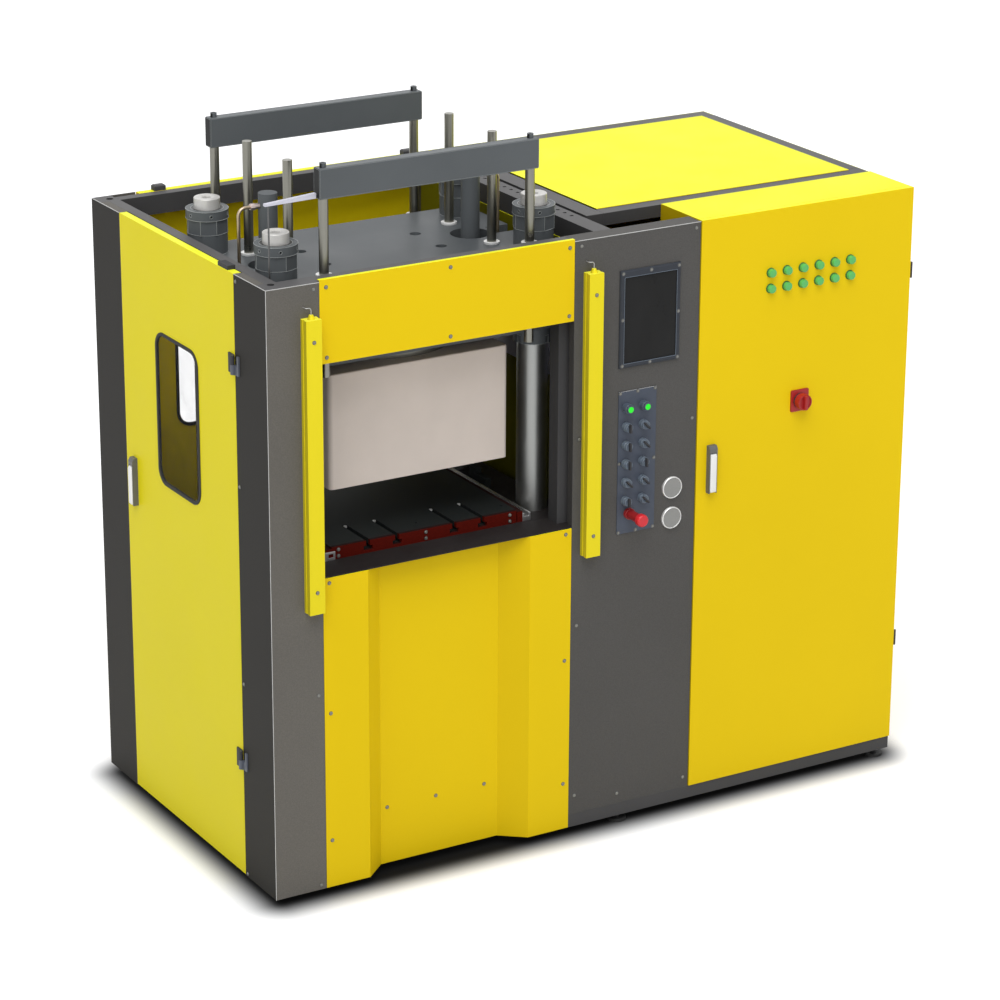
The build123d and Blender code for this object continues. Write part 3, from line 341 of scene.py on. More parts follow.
class Finish:
    """A material's node tree while it is being built."""

    def __init__(self, name, colour, metallic=0.0, roughness=0.5):
        self.material = bpy.data.materials.new(name)
        self.material.use_nodes = True
        self.tree = self.material.node_tree
        self.shader = self.tree.nodes["Principled BSDF"]
        self.colour = np.array(colour[:3], float)
        self.set("Base Color", (*colour[:3], 1.0))
        self.set("Metallic", metallic)
        self.set("Roughness", roughness)
        self.where = self.add("ShaderNodeTexCoord")

    def add(self, kind, **settings):
        node = self.tree.nodes.new(kind)
        for key, value in settings.items():
            setattr(node, key, value)
        return node

    def set(self, socket, value):
        self.shader.inputs[socket].default_value = value

    def link(self, output, target):
        self.tree.links.new(output, target)

    def noise(self, scale, detail=2.0, stretch=(1, 1, 1)):
        """Noise of about 1/scale metres, longer along an axis whose stretch is small."""
        mapping = self.add("ShaderNodeMapping")
        mapping.inputs["Scale"].default_value = stretch
        node = self.add("ShaderNodeTexNoise")
        node.inputs["Scale"].default_value = scale
        node.inputs["Detail"].default_value = detail
        self.link(self.where.outputs["Object"], mapping.inputs["Vector"])
        self.link(mapping.outputs["Vector"], node.inputs["Vector"])
        return node.outputs["Fac"]

    def spread(self, value, low, high, start=0.25, end=0.75):
        """The value from start to end, carried to low to high."""
        node = self.add("ShaderNodeMapRange")
        for key, number in zip(("From Min", "From Max", "To Min", "To Max"), (start, end, low, high)):
            node.inputs[key].default_value = number
        self.link(value, node.inputs["Value"])
        return node.outputs["Result"]

    def blend(self, a, b, share=0.5):
        """The weighted mean of two values, the share being that of the second."""
        node = self.add("ShaderNodeMix", data_type="FLOAT")
        node.inputs["Factor"].default_value = share
        self.link(a, node.inputs["A"])
        self.link(b, node.inputs["B"])
        return node.outputs["Result"]

    def tint(self, factor, dark, light):
        """Base colour between two multiples of the finish's own colour."""
        node = self.add("ShaderNodeMix", data_type="RGBA")
        node.inputs["A"].default_value = (*(self.colour * dark), 1.0)
        node.inputs["B"].default_value = (*np.minimum(self.colour * light, 1.0), 1.0)
        self.link(factor, node.inputs["Factor"])
        self.link(node.outputs["Result"], self.shader.inputs["Base Color"])

    def multiply(self, factor, multiple):
        """Multiplies the base colour in full where the factor is 1, and not at all at 0."""
        node = self.add("ShaderNodeMix", data_type="RGBA", blend_type="MULTIPLY")
        base = self.shader.inputs["Base Color"].links[0].from_socket
        node.inputs["B"].default_value = (*np.broadcast_to(multiple, 3), 1.0)
        self.link(factor, node.inputs["Factor"])
        self.link(base, node.inputs["A"])
        self.link(node.outputs["Result"], self.shader.inputs["Base Color"])
        return self

    def towards(self, direction, multiple):
        """Multiplies the base colour where a face looks the given way on its piece."""
        dot = self.add("ShaderNodeVectorMath", operation="DOT_PRODUCT")
        dot.inputs[1].default_value = direction
        self.link(self.where.outputs["Normal"], dot.inputs[0])
        return self.multiply(self.spread(dot.outputs["Value"], 0.0, 1.0, 0.45, 0.92), multiple)

    def shade_towards_floor(self, low):
        """Multiplies the base colour by a share that climbs from the floor to 1 at 1.8 m: painted shade,
        darker towards the floor.
        """
        split = self.add("ShaderNodeSeparateXYZ")
        self.link(self.where.outputs["Object"], split.inputs["Vector"])
        return self.multiply(self.spread(split.outputs["Z"], 1.0, 0.0, 0.0, 1.8), low)

    def vary(self, socket, factor):
        self.link(factor, self.shader.inputs[socket])

    def bump(self, height, distance, strength=1.0):
        node = self.add("ShaderNodeBump")
        node.inputs["Distance"].default_value = distance
        node.inputs["Strength"].default_value = strength
        self.link(height, node.inputs["Height"])
        self.link(node.outputs["Normal"], self.shader.inputs["Normal"])


UP = (0, 0, 1)
LEFT = (-1, 0, 0)
RIGHT = (1, 0, 0)
FRONT = (0, -1, 0)

# Multiples of the sheets' yellow: a painted highlight on their top faces, and painted shade on the
# partition's left face
PAINTED_TOP_LIGHT = (1.10, 1.55, 1.2)
PAINTED_LEFT_SHADE = (0.15, 0.20, 0.6)


def smooth_coat(name, colour, top_light=PAINTED_TOP_LIGHT):
    """Semi-gloss powder coat with a soft mottle and fine grain, with a painted highlight on its top faces
    and painted shade towards the floor.
    """
    f = Finish(name, colour, roughness=0.42)
    f.tint(f.spread(f.blend(f.noise(1.6, 3.0), f.noise(260.0), 0.3), 0.0, 1.0), 0.965, 1.025)
    # Painted shade: darker towards the floor
    f.shade_towards_floor(0.88)
    # Painted highlight: lighter and greener on the top faces
    f.towards(UP, top_light)
    f.vary("Roughness", f.spread(f.noise(7.0, 4.0), 0.39, 0.45))
    f.bump(f.noise(420.0, 1.0), 0.00010, 0.5)
    f.set("Specular IOR Level", 0.07)
    return f


def textured_coat(name, colour, side):
    """Coarse powder coat with a fine leather-like relief, with painted shade on faces that look along X.
    """
    f = Finish(name, colour, roughness=0.6)
    grain = f.noise(330.0, 3.0)
    f.tint(f.spread(f.blend(grain, f.noise(2.4, 3.0), 0.25), 0.0, 1.0, 0.34, 0.66), 0.87, 1.13)
    # Painted shade: the side multiple darkens faces that look left and right
    f.towards(LEFT, side)
    f.towards(RIGHT, side)
    f.vary("Roughness", f.spread(grain, 0.5, 0.68))
    f.bump(grain, 0.0005, 0.5)
    f.set("Specular IOR Level", 0.09)
    return f


def enamel(name, colour, rough=0.4, up=1.0, left=1.0, right=1.0):
    """Machine enamel with dulled patches and a faint orange peel. The up, left and right multiples paint
    a highlight where they are above 1 and shade where they are below 1.
    """
    f = Finish(name, colour, roughness=rough)
    patch = f.noise(5.0, 5.0)
    f.tint(f.spread(patch, 0.0, 1.0), 0.93, 1.06)
    # Painted highlight and shade on faces that look up, left and right
    for direction, multiple in ((UP, up), (LEFT, left), (RIGHT, right)):
        if multiple != 1.0:
            f.towards(direction, multiple)
    f.vary("Roughness", f.spread(patch, rough - 0.06, rough + 0.08))
    f.bump(f.noise(240.0), 0.00015, 0.4)
    f.set("Specular IOR Level", 0.12)
    return f


def ground_steel(name, colour, rough):
    """Ground and plated bar with a barely visible lay and faint stains."""
    f = Finish(name, colour, metallic=1.0, roughness=rough)
    lay = f.noise(700.0, 2.0, (0.02, 0.02, 1.0))
    stain = f.noise(14.0, 4.0)
    f.tint(f.spread(f.blend(lay, stain, 0.6), 0.0, 1.0), 0.93, 1.05)
    f.vary("Roughness", f.spread(stain, rough - 0.04, rough + 0.06))
    f.bump(lay, 0.00001, 0.3)
    return f


def milled_metal(name, colour, rough=0.35, metallic=1.0):
    """Milled or drawn metal with short cutter marks and a patchy shine."""
    f = Finish(name, colour, metallic=metallic, roughness=rough)
    marks = f.noise(600.0, 2.0, (0.1, 1.0, 1.0))
    patch = f.noise(30.0, 4.0)
    f.tint(f.spread(f.blend(marks, patch, 0.6), 0.0, 1.0), 0.9, 1.07)
    f.vary("Roughness", f.spread(patch, rough - 0.06, rough + 0.08))
    f.bump(marks, 0.00004, 0.4)
    return f


def hot_steel(name, colour):
    """Platen steel darkened by heat, with grinding marks and oily patches."""
    f = Finish(name, colour, metallic=0.2, roughness=0.6)
    patch = f.noise(9.0, 6.0)
    marks = f.noise(300.0, 2.0, (1.0, 0.06, 1.0))
    f.tint(f.spread(f.blend(patch, marks, 0.3), 0.0, 1.0), 0.8, 1.25)
    f.vary("Roughness", f.spread(patch, 0.5, 0.7))
    f.bump(marks, 0.0001, 0.5)
    f.set("Specular IOR Level", 0.2)
    return f


def fibre_board(name, colour):
    """Pressed insulating board with a fibrous mottle."""
    f = Finish(name, colour, roughness=0.7)
    fibre = f.noise(90.0, 5.0, (1.0, 1.0, 2.5))
    f.tint(f.spread(fibre, 0.0, 1.0), 0.8, 1.2)
    f.bump(fibre, 0.0003, 0.6)
    f.set("Specular IOR Level", 0.05)
    return f


def moulded(name, colour, rough=0.35, glow=0.0, shine=0.4):
    """Moulded plastic or rubber with a fine spark-eroded grain."""
    f = Finish(name, colour, roughness=rough)
    grain = f.noise(900.0)
    f.tint(f.spread(f.noise(40.0, 3.0), 0.0, 1.0), 0.94, 1.05)
    f.vary("Roughness", f.spread(grain, rough - 0.05, rough + 0.08))
    f.bump(grain, 0.00005, 0.5)
    f.set("Specular IOR Level", shine)
    if glow:
        f.set("Emission Color", (*colour[:3], 1.0))
        f.set("Emission Strength", glow)
    return f


def clear_sheet(name, colour, alpha):
    """Guard sheet that lets most light through, faintly hazed by patches of dust."""
    f = Finish(name, colour, roughness=0.12)
    dust = f.noise(18.0, 5.0)
    f.tint(f.spread(dust, 0.0, 1.0), 0.9, 1.05)
    f.vary("Alpha", f.spread(dust, alpha * 0.7, alpha * 1.3))
    f.set("Specular IOR Level", 0.02)
    return f


def glass_front(name, colour):
    """Dark display glass with a faint smear in its shine."""
    f = Finish(name, colour, roughness=0.3)
    smear = f.noise(12.0, 4.0, (1.0, 1.0, 0.5))
    f.tint(f.spread(smear, 0.0, 1.0), 0.9, 1.1)
    f.vary("Roughness", f.spread(smear, 0.26, 0.4))
    f.set("Specular IOR Level", 0.05)
    return f


# Sizes and colours that a user would change


def colour_property(name, description, default):
    return FloatVectorProperty(
        name=name, description=description, default=default, subtype="COLOR", size=3, min=0.0, max=1.0
    )


def length_property(name, description, default):
    return FloatProperty(name=name, description=description, default=default, min=0.0, unit="LENGTH")


class PressColours(bpy.types.PropertyGroup):
    """Colours of the coats, plastics and lenses."""

    sheet: colour_property("Sheet yellow", "Coat of the doors and sheets", (0.84, 0.595, 0.006))
    # The left door's yellow as lit on its side: a lit copy of the sheet yellow
    side: colour_property("Side yellow", "Coat of the left door", (0.80, 0.69, 0.012))
    post: colour_property("Corner covers", "Textured coat of the corner covers", (0.134, 0.126, 0.113))
    panel: colour_property("Control panel", "Textured coat of the control panel", (0.091, 0.088, 0.084))
    rail: colour_property("Rails", "Coat of the frame's rails", (0.066, 0.065, 0.066))
    press: colour_property("Press grey", "Enamel of crosshead, nuts and beams", (0.105, 0.115, 0.122))
    block: colour_property("Block beige", "Enamel of the moving block's apron", (0.64, 0.565, 0.51))
    curtain: colour_property("Curtain yellow", "Coat of the light curtains", (0.85, 0.71, 0.02))
    bezel: colour_property("Bezel", "Coat of the screen bezel and switch plate", (0.066, 0.078, 0.105))
    collar: colour_property("Collars", "Collars of the selectors", (0.12, 0.15, 0.19))
    barrel: colour_property("Barrels", "Barrels of the push buttons", (0.075, 0.095, 0.13))
    lit: colour_property("Lit green", "Lenses of the lit push buttons", (0.01, 0.70, 0.015))
    lamp: colour_property("Lamp green", "Lenses of the pilot lamps", (0.075, 0.45, 0.10))
    red: colour_property("Switch red", "Main switch", (0.35, 0.012, 0.012))
    stop: colour_property("Stop red", "Head of the emergency stop", (0.60, 0.02, 0.03))


class PressSizes(bpy.types.PropertyGroup):
    """Sizes of the fine pieces and strengths of the studio's lamps."""

    edge: length_property("Sheet edge", "Rounding of the folded sheets", 0.0009)
    screw: length_property("Screw head", "Radius of a sheet screw's head", 0.0047)
    seal: length_property("Gasket height", "How far a window gasket stands out", 0.0036)
    # The bright edge lines are painted highlights
    fold: length_property("Edge highlight", "Radius of the painted edge highlights", 0.0011)
    segments: IntProperty(name="Segments", description="Points round a turned piece", default=48, min=12)
    key: FloatProperty(name="Key light", description="Strength of the overhead sun", default=2.3, min=0.0)
    fill: FloatProperty(name="Fill light", description="Strength of the front sun", default=0.7, min=0.0)
    back: FloatProperty(name="Back light", description="Strength of the rear sun", default=0.3, min=0.0)
    sky: FloatProperty(name="Sky", description="Strength of the even light from all sides", default=0.35)


def colours():
    return bpy.context.scene.press_colours


def sizes():
    return bpy.context.scene.press_sizes


# Operators


class PRESS_OT_studio(bpy.types.Operator):
    """Pale floor, even sky, three soft suns and the photograph's camera"""

    bl_idname = "press.studio"
    bl_label = "Studio"

    # The floor reaches this far each way and lies this far below the feet. Its shade starts
    # inside the footprint and ends this far from there. All four are in metres.
    floor_reach = 40.0
    floor_drop = 0.0004
    shade_start = 0.04
    shade_reach = 0.18

    # The floor's colour, its glow where it is seen, and the colour under the press
    floor_white = 0.80
    floor_glow = 0.40
    shade_black = 0.004

    def execute(self, context):
        scene = context.scene
        scene.view_settings.view_transform = "Standard"
        self.camera(scene)
        self.world(scene)
        self.floor(scene)
        self.sun(scene, "key_sun", sizes().key, (-0.28, -0.34, 0.9), 50)
        self.sun(scene, "fill_sun", sizes().fill, (-0.50, -0.82, 0.28), 60)
        self.sun(scene, "back_sun", sizes().back, (0.62, 0.72, 0.32), 60)
        return {"FINISHED"}

    def camera(self, scene):
        """A camera where the photograph's was, with nothing out of focus."""
        data = bpy.data.cameras.new("camera")
        data.lens = CAMERA_LENS
        data.sensor_width = 36.0
        data.shift_x, data.shift_y = CAMERA_SHIFT
        data.dof.use_dof = False
        data.clip_end = 200.0
        obj = bpy.data.objects.new("camera", data)
        obj.location = CAMERA_PLACE
        tilt = math.radians(90 - CAMERA_ELEVATION)
        obj.rotation_euler = (tilt, 0.0, math.radians(CAMERA_AZIMUTH))
        scene.collection.objects.link(obj)
        scene.camera = obj

    def seen_ray(self, tree):
        """1 where a ray comes straight from the camera, a mirror or a clear sheet."""
        path = tree.nodes.new("ShaderNodeLightPath")
        total = path.outputs["Is Camera Ray"]
        for name in ("Is Glossy Ray", "Is Transmission Ray"):
            node = tree.nodes.new("ShaderNodeMath")
            node.operation = "MAXIMUM"
            tree.links.new(total, node.inputs[0])
            tree.links.new(path.outputs[name], node.inputs[1])
            total = node.outputs["Value"]
        return total

    def world(self, scene):
        """A white sky as it is seen, which lights the press at a lower strength."""
        world = bpy.data.worlds.new("studio_sky")
        scene.world = world
        world.use_nodes = True
        tree = world.node_tree
        back = tree.nodes["Background"]
        back.inputs["Color"].default_value = (1, 1, 1, 1)
        node = tree.nodes.new("ShaderNodeMapRange")
        node.inputs["To Min"].default_value = sizes().sky
        node.inputs["To Max"].default_value = 1.0
        tree.links.new(self.seen_ray(tree), node.inputs["Value"])
        tree.links.new(node.outputs["Result"], back.inputs["Strength"])

    def floor(self, scene):
        """A flat grid just below the feet, white enough to match the sky behind it."""
        span = np.linspace(-self.floor_reach, self.floor_reach, 9)
        x, y = np.meshgrid(span, span)
        points = np.stack([x, y, np.full_like(x, -self.floor_drop)], axis=-1).reshape(-1, 3)
        corner = (np.arange(8)[:, None] * 9 + np.arange(8)).reshape(-1, 1)
        mesh = bpy.data.meshes.new("floor")
        mesh.from_pydata(points, [], (corner + np.array([0, 1, 10, 9])).tolist())
        obj = bpy.data.objects.new("floor", mesh)
        scene.collection.objects.link(obj)
        material = bpy.data.materials.new("floor_white")
        material.use_nodes = True
        tree = material.node_tree
        shader = tree.nodes["Principled BSDF"]
        shader.inputs["Roughness"].default_value = 0.9
        shader.inputs["Specular IOR Level"].default_value = 0.1
        glow = tree.nodes.new("ShaderNodeMath")
        glow.operation = "MULTIPLY"
        glow.inputs[1].default_value = self.floor_glow
        tree.links.new(self.seen_ray(tree), glow.inputs[0])
        tree.links.new(glow.outputs["Value"], shader.inputs["Emission Strength"])
        self.contact(tree, shader)
        mesh.materials.append(material)

    def contact(self, tree, shader):
        """Darkens the floor under the press and up to a hand's breadth beside it.

        The shade follows the distance from the footprint's rectangle: the length of
        max(|p - centre| - half, 0), from black at 0 to none at its reach. The rectangle
        is drawn in on each side, so that the shade starts under the press.
        """
        boxes = np.array([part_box("frame"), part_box("unit_frame")])
        low, high = boxes[:, 0].min(axis=0), boxes[:, 1].max(axis=0)
        centre = (low + high) / 2
        half = (high - low) / 2
        geometry = tree.nodes.new("ShaderNodeNewGeometry")
        value = geometry.outputs["Position"]
        for kind, vector in (
            ("SUBTRACT", (centre[0], centre[1], 0)), ("ABSOLUTE", None),
            ("SUBTRACT", (half[0] - self.shade_start, half[1] - self.shade_start, 1.0)),
            ("MAXIMUM", (0, 0, 0)), ("LENGTH", None),
        ):
            node = tree.nodes.new("ShaderNodeVectorMath")
            node.operation = kind
            if vector is not None:
                node.inputs[1].default_value = vector
            tree.links.new(value, node.inputs[0])
            value = node.outputs["Value" if kind == "LENGTH" else "Vector"]
        ramp = tree.nodes.new("ShaderNodeMapRange")
        ramp.interpolation_type = "SMOOTHERSTEP"
        for key, number in (("From Max", self.shade_reach), ("To Min", 0.0), ("To Max", 1.0)):
            ramp.inputs[key].default_value = number
        tree.links.new(value, ramp.inputs["Value"])
        for name, level in (("Base Color", self.floor_white), ("Emission Color", 1.0)):
            node = tree.nodes.new("ShaderNodeMix")
            node.data_type = "RGBA"
            node.inputs["A"].default_value = (*[self.shade_black] * 3, 1)
            node.inputs["B"].default_value = (level * 0.985, level * 0.99, level, 1)
            tree.links.new(ramp.outputs["Result"], node.inputs["Factor"])
            tree.links.new(node.outputs["Result"], shader.inputs[name])

    def sun(self, scene, name, strength, toward, width):
        """A sun that stands towards a direction and is that many degrees wide."""
        data = bpy.data.lights.new(name, "SUN")
        data.energy = strength
        data.angle = math.radians(width)
        obj = bpy.data.objects.new(name, data)
        obj.rotation_mode = "QUATERNION"
        obj.rotation_quaternion = Vector(toward).to_track_quat("Z", "Y")
        scene.collection.objects.link(obj)


class PRESS_OT_finishes(bpy.types.Operator):
    """Makes the finishes and gives every CAD node its own"""

    bl_idname = "press.finishes"
    bl_label = "Finishes"

    # Nodes by the finish that they wear; the rest are black plastic
    worn = {
        "rail_coat": ("frame", "unit_frame"), "corner_coat": ("corner_covers",),
        "panel_coat": ("control_panel",), "side_lit_yellow": ("left_door",),
        "sheet_yellow": ("header_panel", "lower_panel", "cabinet", "cabinet_door"),
        "guard_yellow": ("rear_guard",), "cover_yellow": ("cover_sheets",),
        "curtain_yellow": ("light_curtains",), "platen_steel": ("lower_platen", "upper_platen"),
        "bed_steel": ("bed",), "column_chrome": ("columns",),
        "press_grey": ("column_nuts", "side_cylinders"), "head_grey": ("crosshead",),
        "beam_grey": ("beam_front", "beam_rear"), "cap_zinc": ("column_caps",),
        "bush_white": ("rod_bushings",), "drawn_brass": ("cylinder_pipes",),
        "insulating_board": ("insulation_strips",), "satin_aluminium": ("slide_rails",),
        "pale_sheet": ("partition_insert",), "black_rubber": ("rear_fittings", "left_door_fittings"),
        "clear_guard": ("rear_pane",), "shade_tinted_pane": ("left_door_pane",),
        "bezel_coat": ("control_plates",),
        "display_glass": ("touch_screen",), "screw_zinc": ("sheet_fixings",),
        "block_beige": ("apron",), "arm_white": ("sensor_arm",), "lead_grey": ("curtain_leads",),
        "hard_chrome": ("ram_and_rods", "beam_front_rods", "beam_rear_rods"),
        "foot_black": ("feet",), "lever_white": ("left_door_lever", "cabinet_lever"),
    }

    def execute(self, context):
        self.coats(colours())
        self.metals()
        self.plastics(colours())
        wearer = {node: name for name, nodes in self.worn.items() for node in nodes}
        for name, obj in NODES.items():
            obj.data.materials.clear()
            obj.data.materials.append(bpy.data.materials[wearer.get(name, "black_plastic")])
            obj.data.polygons.foreach_set("material_index", [0] * len(obj.data.polygons))
        self.several("sheet_fixings", ("hinge_blue", "hinge_brown"), self.leaf)
        self.several("left_door_fittings", ("black_plastic", "handle_grey"), self.door_fitting)
        self.several("cabinet_fittings", ("hinge_brown", "handle_grey"), self.cabinet_fitting)
        self.several("rear_fittings", ("rail_coat",), self.block)
        self.several("sensor_arm", ("rod_dark",), self.thin_rod)
        self.several("cylinder_pipes", ("nut_pink",), self.short)
        self.several("control_plates", ("bezel_dark",), self.bezel)
        return {"FINISHED"}

    def several(self, node, finishes, choose):
        """Gives each separate solid of a node the finish that its place and size call for.

        The choice is 0 for the node's own finish, or the number of one that is listed.
        """
        co, corners, owner = solid_labels(node)
        mesh = NODES[node].data
        index = np.zeros(len(mesh.polygons), int)
        for name in finishes:
            mesh.materials.append(bpy.data.materials[name])
        first = owner[corners[:, 0]]
        for solid in np.unique(owner):
            points = co[owner == solid]
            low = points.min(axis=0)
            index[first == solid] = choose(low, size((low, points.max(axis=0))))
        mesh.polygons.foreach_set("material_index", index)

    @staticmethod
    def leaf(low, span):
        """Screws are small, and the hinge leaves of the left door are left of the middle."""
        if span[2] < 20:
            return 0
        return 1 if low[0] < 0 else 2

    @staticmethod
    def door_fitting(low, span):
        """The gasket is tallest, then the handle's plate, then the hinge leaves."""
        if span[2] > 300:
            return 0
        return 2 if span[2] > 100 else 1

    @staticmethod
    def cabinet_fitting(low, span):
        """The handle's plate is tallest, then the switch's plate, then the hinge leaves."""
        if span[2] > 100:
            return 2
        return 1 if span[2] < 55 else 0

    @staticmethod
    def block(low, span):
        """The rear guard's two blocks are lower than its gasket."""
        return 1 if span[2] < 100 else 0

    @staticmethod
    def thin_rod(low, span):
        """The rod that hangs from the arm is thin."""
        return 1 if span[0] < 20 else 0

    @staticmethod
    def bezel(low, span):
        """The screen's bezel is wider than the switch plate."""
        return 1 if span[0] > 200 else 0

    @staticmethod
    def short(low, span):
        """The pipes' nuts are lower than the pipes."""
        return 1 if span[2] < 50 else 0

    def coats(self, c):
        """Powder coats of the sheets, and enamels of rails, press and levers, several with painted
        highlights and shade on faces by the way they look.
        """
        # Painted shade on the sheets' left faces and a painted highlight on their right faces
        smooth_coat("sheet_yellow", c.sheet).towards(LEFT, 0.62).towards(RIGHT, 1.2)
        # The sheet yellow as lit on the left door's side, with a painted highlight on top faces and
        # painted shade on inner faces that look right
        smooth_coat("side_lit_yellow", c.side, (1.14, 1.36, 3.0)).towards(RIGHT, (0.85, 0.75, 0.6))
        # Painted light on the rear guard's front faces, which stand in shade
        smooth_coat("guard_yellow", c.sheet).towards(FRONT, (1.12, 1.22, 1.0))
        # Painted shade on the cover sheets' left faces
        smooth_coat("cover_yellow", c.sheet).towards(LEFT, PAINTED_LEFT_SHADE)
        # Painted highlight on the curtains' top faces and painted shade on their left faces
        smooth_coat("curtain_yellow", c.curtain, (1.1, 1.25, 3.0)).towards(LEFT, (0.62, 0.62, 0.8))
        # Painted shade on the side faces of the corner covers and the panel, and on the panel towards the
        # floor
        textured_coat("corner_coat", c.post, 0.21)
        textured_coat("panel_coat", c.panel, 0.5).shade_towards_floor(0.86)
        # Painted highlight on the rails' top and right faces, painted shade on their left faces
        enamel("rail_coat", c.rail, 0.5, 1.5, 0.7, 2.2)
        enamel("press_grey", c.press, 0.4)
        # Painted shade on the crosshead's top faces
        enamel("head_grey", c.press, 0.4, 0.85)
        # Painted highlight on the beams' top faces, painted shade on their left faces
        enamel("beam_grey", c.press, 0.4, 1.2, 0.05)
        enamel("block_beige", c.block, 0.5)
        enamel("foot_black", (0.035, 0.035, 0.035))
        enamel("lever_white", (0.80, 0.80, 0.80), 0.25)
        enamel("arm_white", (0.60, 0.60, 0.68), 0.35)

    def metals(self):
        """Chromed, zinc-plated, drawn, milled and heat-darkened metals."""
        ground_steel("hard_chrome", (0.23, 0.225, 0.195), 0.3)
        # Painted shade on the columns' up-facing faces, which dims their reflection
        ground_steel("column_chrome", (0.32, 0.325, 0.315), 0.4).towards(UP, 0.2)
        ground_steel("rod_dark", (0.12, 0.12, 0.12), 0.3)
        milled_metal("cap_zinc", (0.56, 0.55, 0.53), 0.35, 0.2)
        milled_metal("satin_aluminium", (0.55, 0.55, 0.55), 0.34)
        milled_metal("drawn_brass", (0.42, 0.34, 0.24), 0.35)
        milled_metal("nut_pink", (0.62, 0.52, 0.50), 0.35)
        milled_metal("bush_white", (0.80, 0.80, 0.79), 0.4, 0.2)
        milled_metal("rim_bright", (0.85, 0.85, 0.84), 0.3, 0.5)
        milled_metal("disc_grey", (0.24, 0.24, 0.23), 0.4, 0.3)
        milled_metal("screw_zinc", (0.22, 0.22, 0.20), 0.4, 0.5)
        # Finishes of the bright edge lines, painted highlights; the first is also the platen pins' steel
        milled_metal("edge_highlight_and_pin_steel", (0.55, 0.55, 0.54), 0.35, 0.3)
        milled_metal("nut_edge_highlight", (0.34, 0.36, 0.36), 0.35, 0.3)
        milled_metal("beam_edge_highlight", (0.20, 0.215, 0.22), 0.35, 0.3)
        milled_metal("lead_grey", (0.45, 0.45, 0.46), 0.35, 0.5)
        hot_steel("platen_steel", (0.018, 0.020, 0.020))
        hot_steel("bed_steel", (0.020, 0.017, 0.017))

    def plastics(self, c):
        """Plastics, rubber, the insulating board, the guards' panes and the display."""
        fibre_board("insulating_board", (0.080, 0.005, 0.0025)).towards(UP, (0.3, 1.6, 3.0))
        moulded("bezel_coat", c.bezel, 0.45, shine=0.2)
        # The partition insert's faint glow is painted light: it stands in shade and is no lamp
        moulded("pale_sheet", (0.62, 0.62, 0.78), 0.5, 0.07)
        moulded("bezel_dark", (0.033, 0.038, 0.048), 0.45, shine=0.2)
        moulded("black_rubber", (0.030, 0.031, 0.033), 0.4)
        moulded("black_plastic", (0.018, 0.019, 0.021), 0.35)
        moulded("hinge_blue", (0.085, 0.095, 0.12), 0.4)
        moulded("hinge_brown", (0.022, 0.016, 0.014), 0.4)
        moulded("handle_grey", (0.115, 0.115, 0.115), 0.4)
        moulded("collar_blue", c.collar, 0.35)
        moulded("barrel_blue", c.barrel, 0.35)
        moulded("lit_green", c.lit, 0.3, 0.3)
        moulded("lamp_green", c.lamp, 0.3, 0.05)
        moulded("lamp_rim", (0.02, 0.13, 0.035), 0.35)
        moulded("switch_red", c.red, 0.35)
        moulded("stop_red", c.stop, 0.3)
        moulded("stop_dark", (0.28, 0.012, 0.014), 0.4)
        clear_sheet("clear_guard", (0.85, 0.87, 0.86), 0.02)
        # The left door's pane is clear; its dark colour and higher alpha paint shade over the door's
        # inside
        clear_sheet("shade_tinted_pane", (0.03, 0.03, 0.03), 0.13)
        glass_front("display_glass", (0.022, 0.022, 0.022))


class PRESS_OT_edges(bpy.types.Operator):
    """Welds the sheets' and castings' triangles and rounds their edges a little"""

    bl_idname = "press.edges"
    bl_label = "Rounded edges"

    # Edges are rounded above the first angle and shaded sharp above the second, in degrees
    bevel_from = 35
    split_from = 50

    # Width of each node's rounding, as a multiple of a sheet edge's
    widths = {
        "frame": 0.6, "unit_frame": 0.6, "crosshead": 2.0, "header_panel": 1.0,
        "lower_panel": 1.0, "control_panel": 1.0, "corner_covers": 1.0, "left_door": 1.0,
        "cabinet_door": 1.0, "light_curtains": 1.4, "lower_platen": 1.0,
        "column_nuts": 1.1, "cabinet": 0.9, "cover_sheets": 0.9, "rear_guard": 0.9, "bed": 1.2,
        "slide_rails": 1.0, "cabinet_fittings": 0.8, "rod_bushings": 1.0, "beam_front": 1.0,
        "beam_rear": 1.0,
    }

    def execute(self, context):
        for name, times in self.widths.items():
            obj = NODES[name]
            weld = obj.modifiers.new("weld", "WELD")
            weld.merge_threshold = 0.00001
            bevel = obj.modifiers.new("bevel", "BEVEL")
            bevel.width = sizes().edge * times
            bevel.segments = 2
            bevel.limit_method = "ANGLE"
            bevel.angle_limit = math.radians(self.bevel_from)
            split = obj.modifiers.new("split", "EDGE_SPLIT")
            split.split_angle = math.radians(self.split_from)
            normals = obj.modifiers.new("normals", "WEIGHTED_NORMAL")
            normals.keep_sharp = True
        return {"FINISHED"}


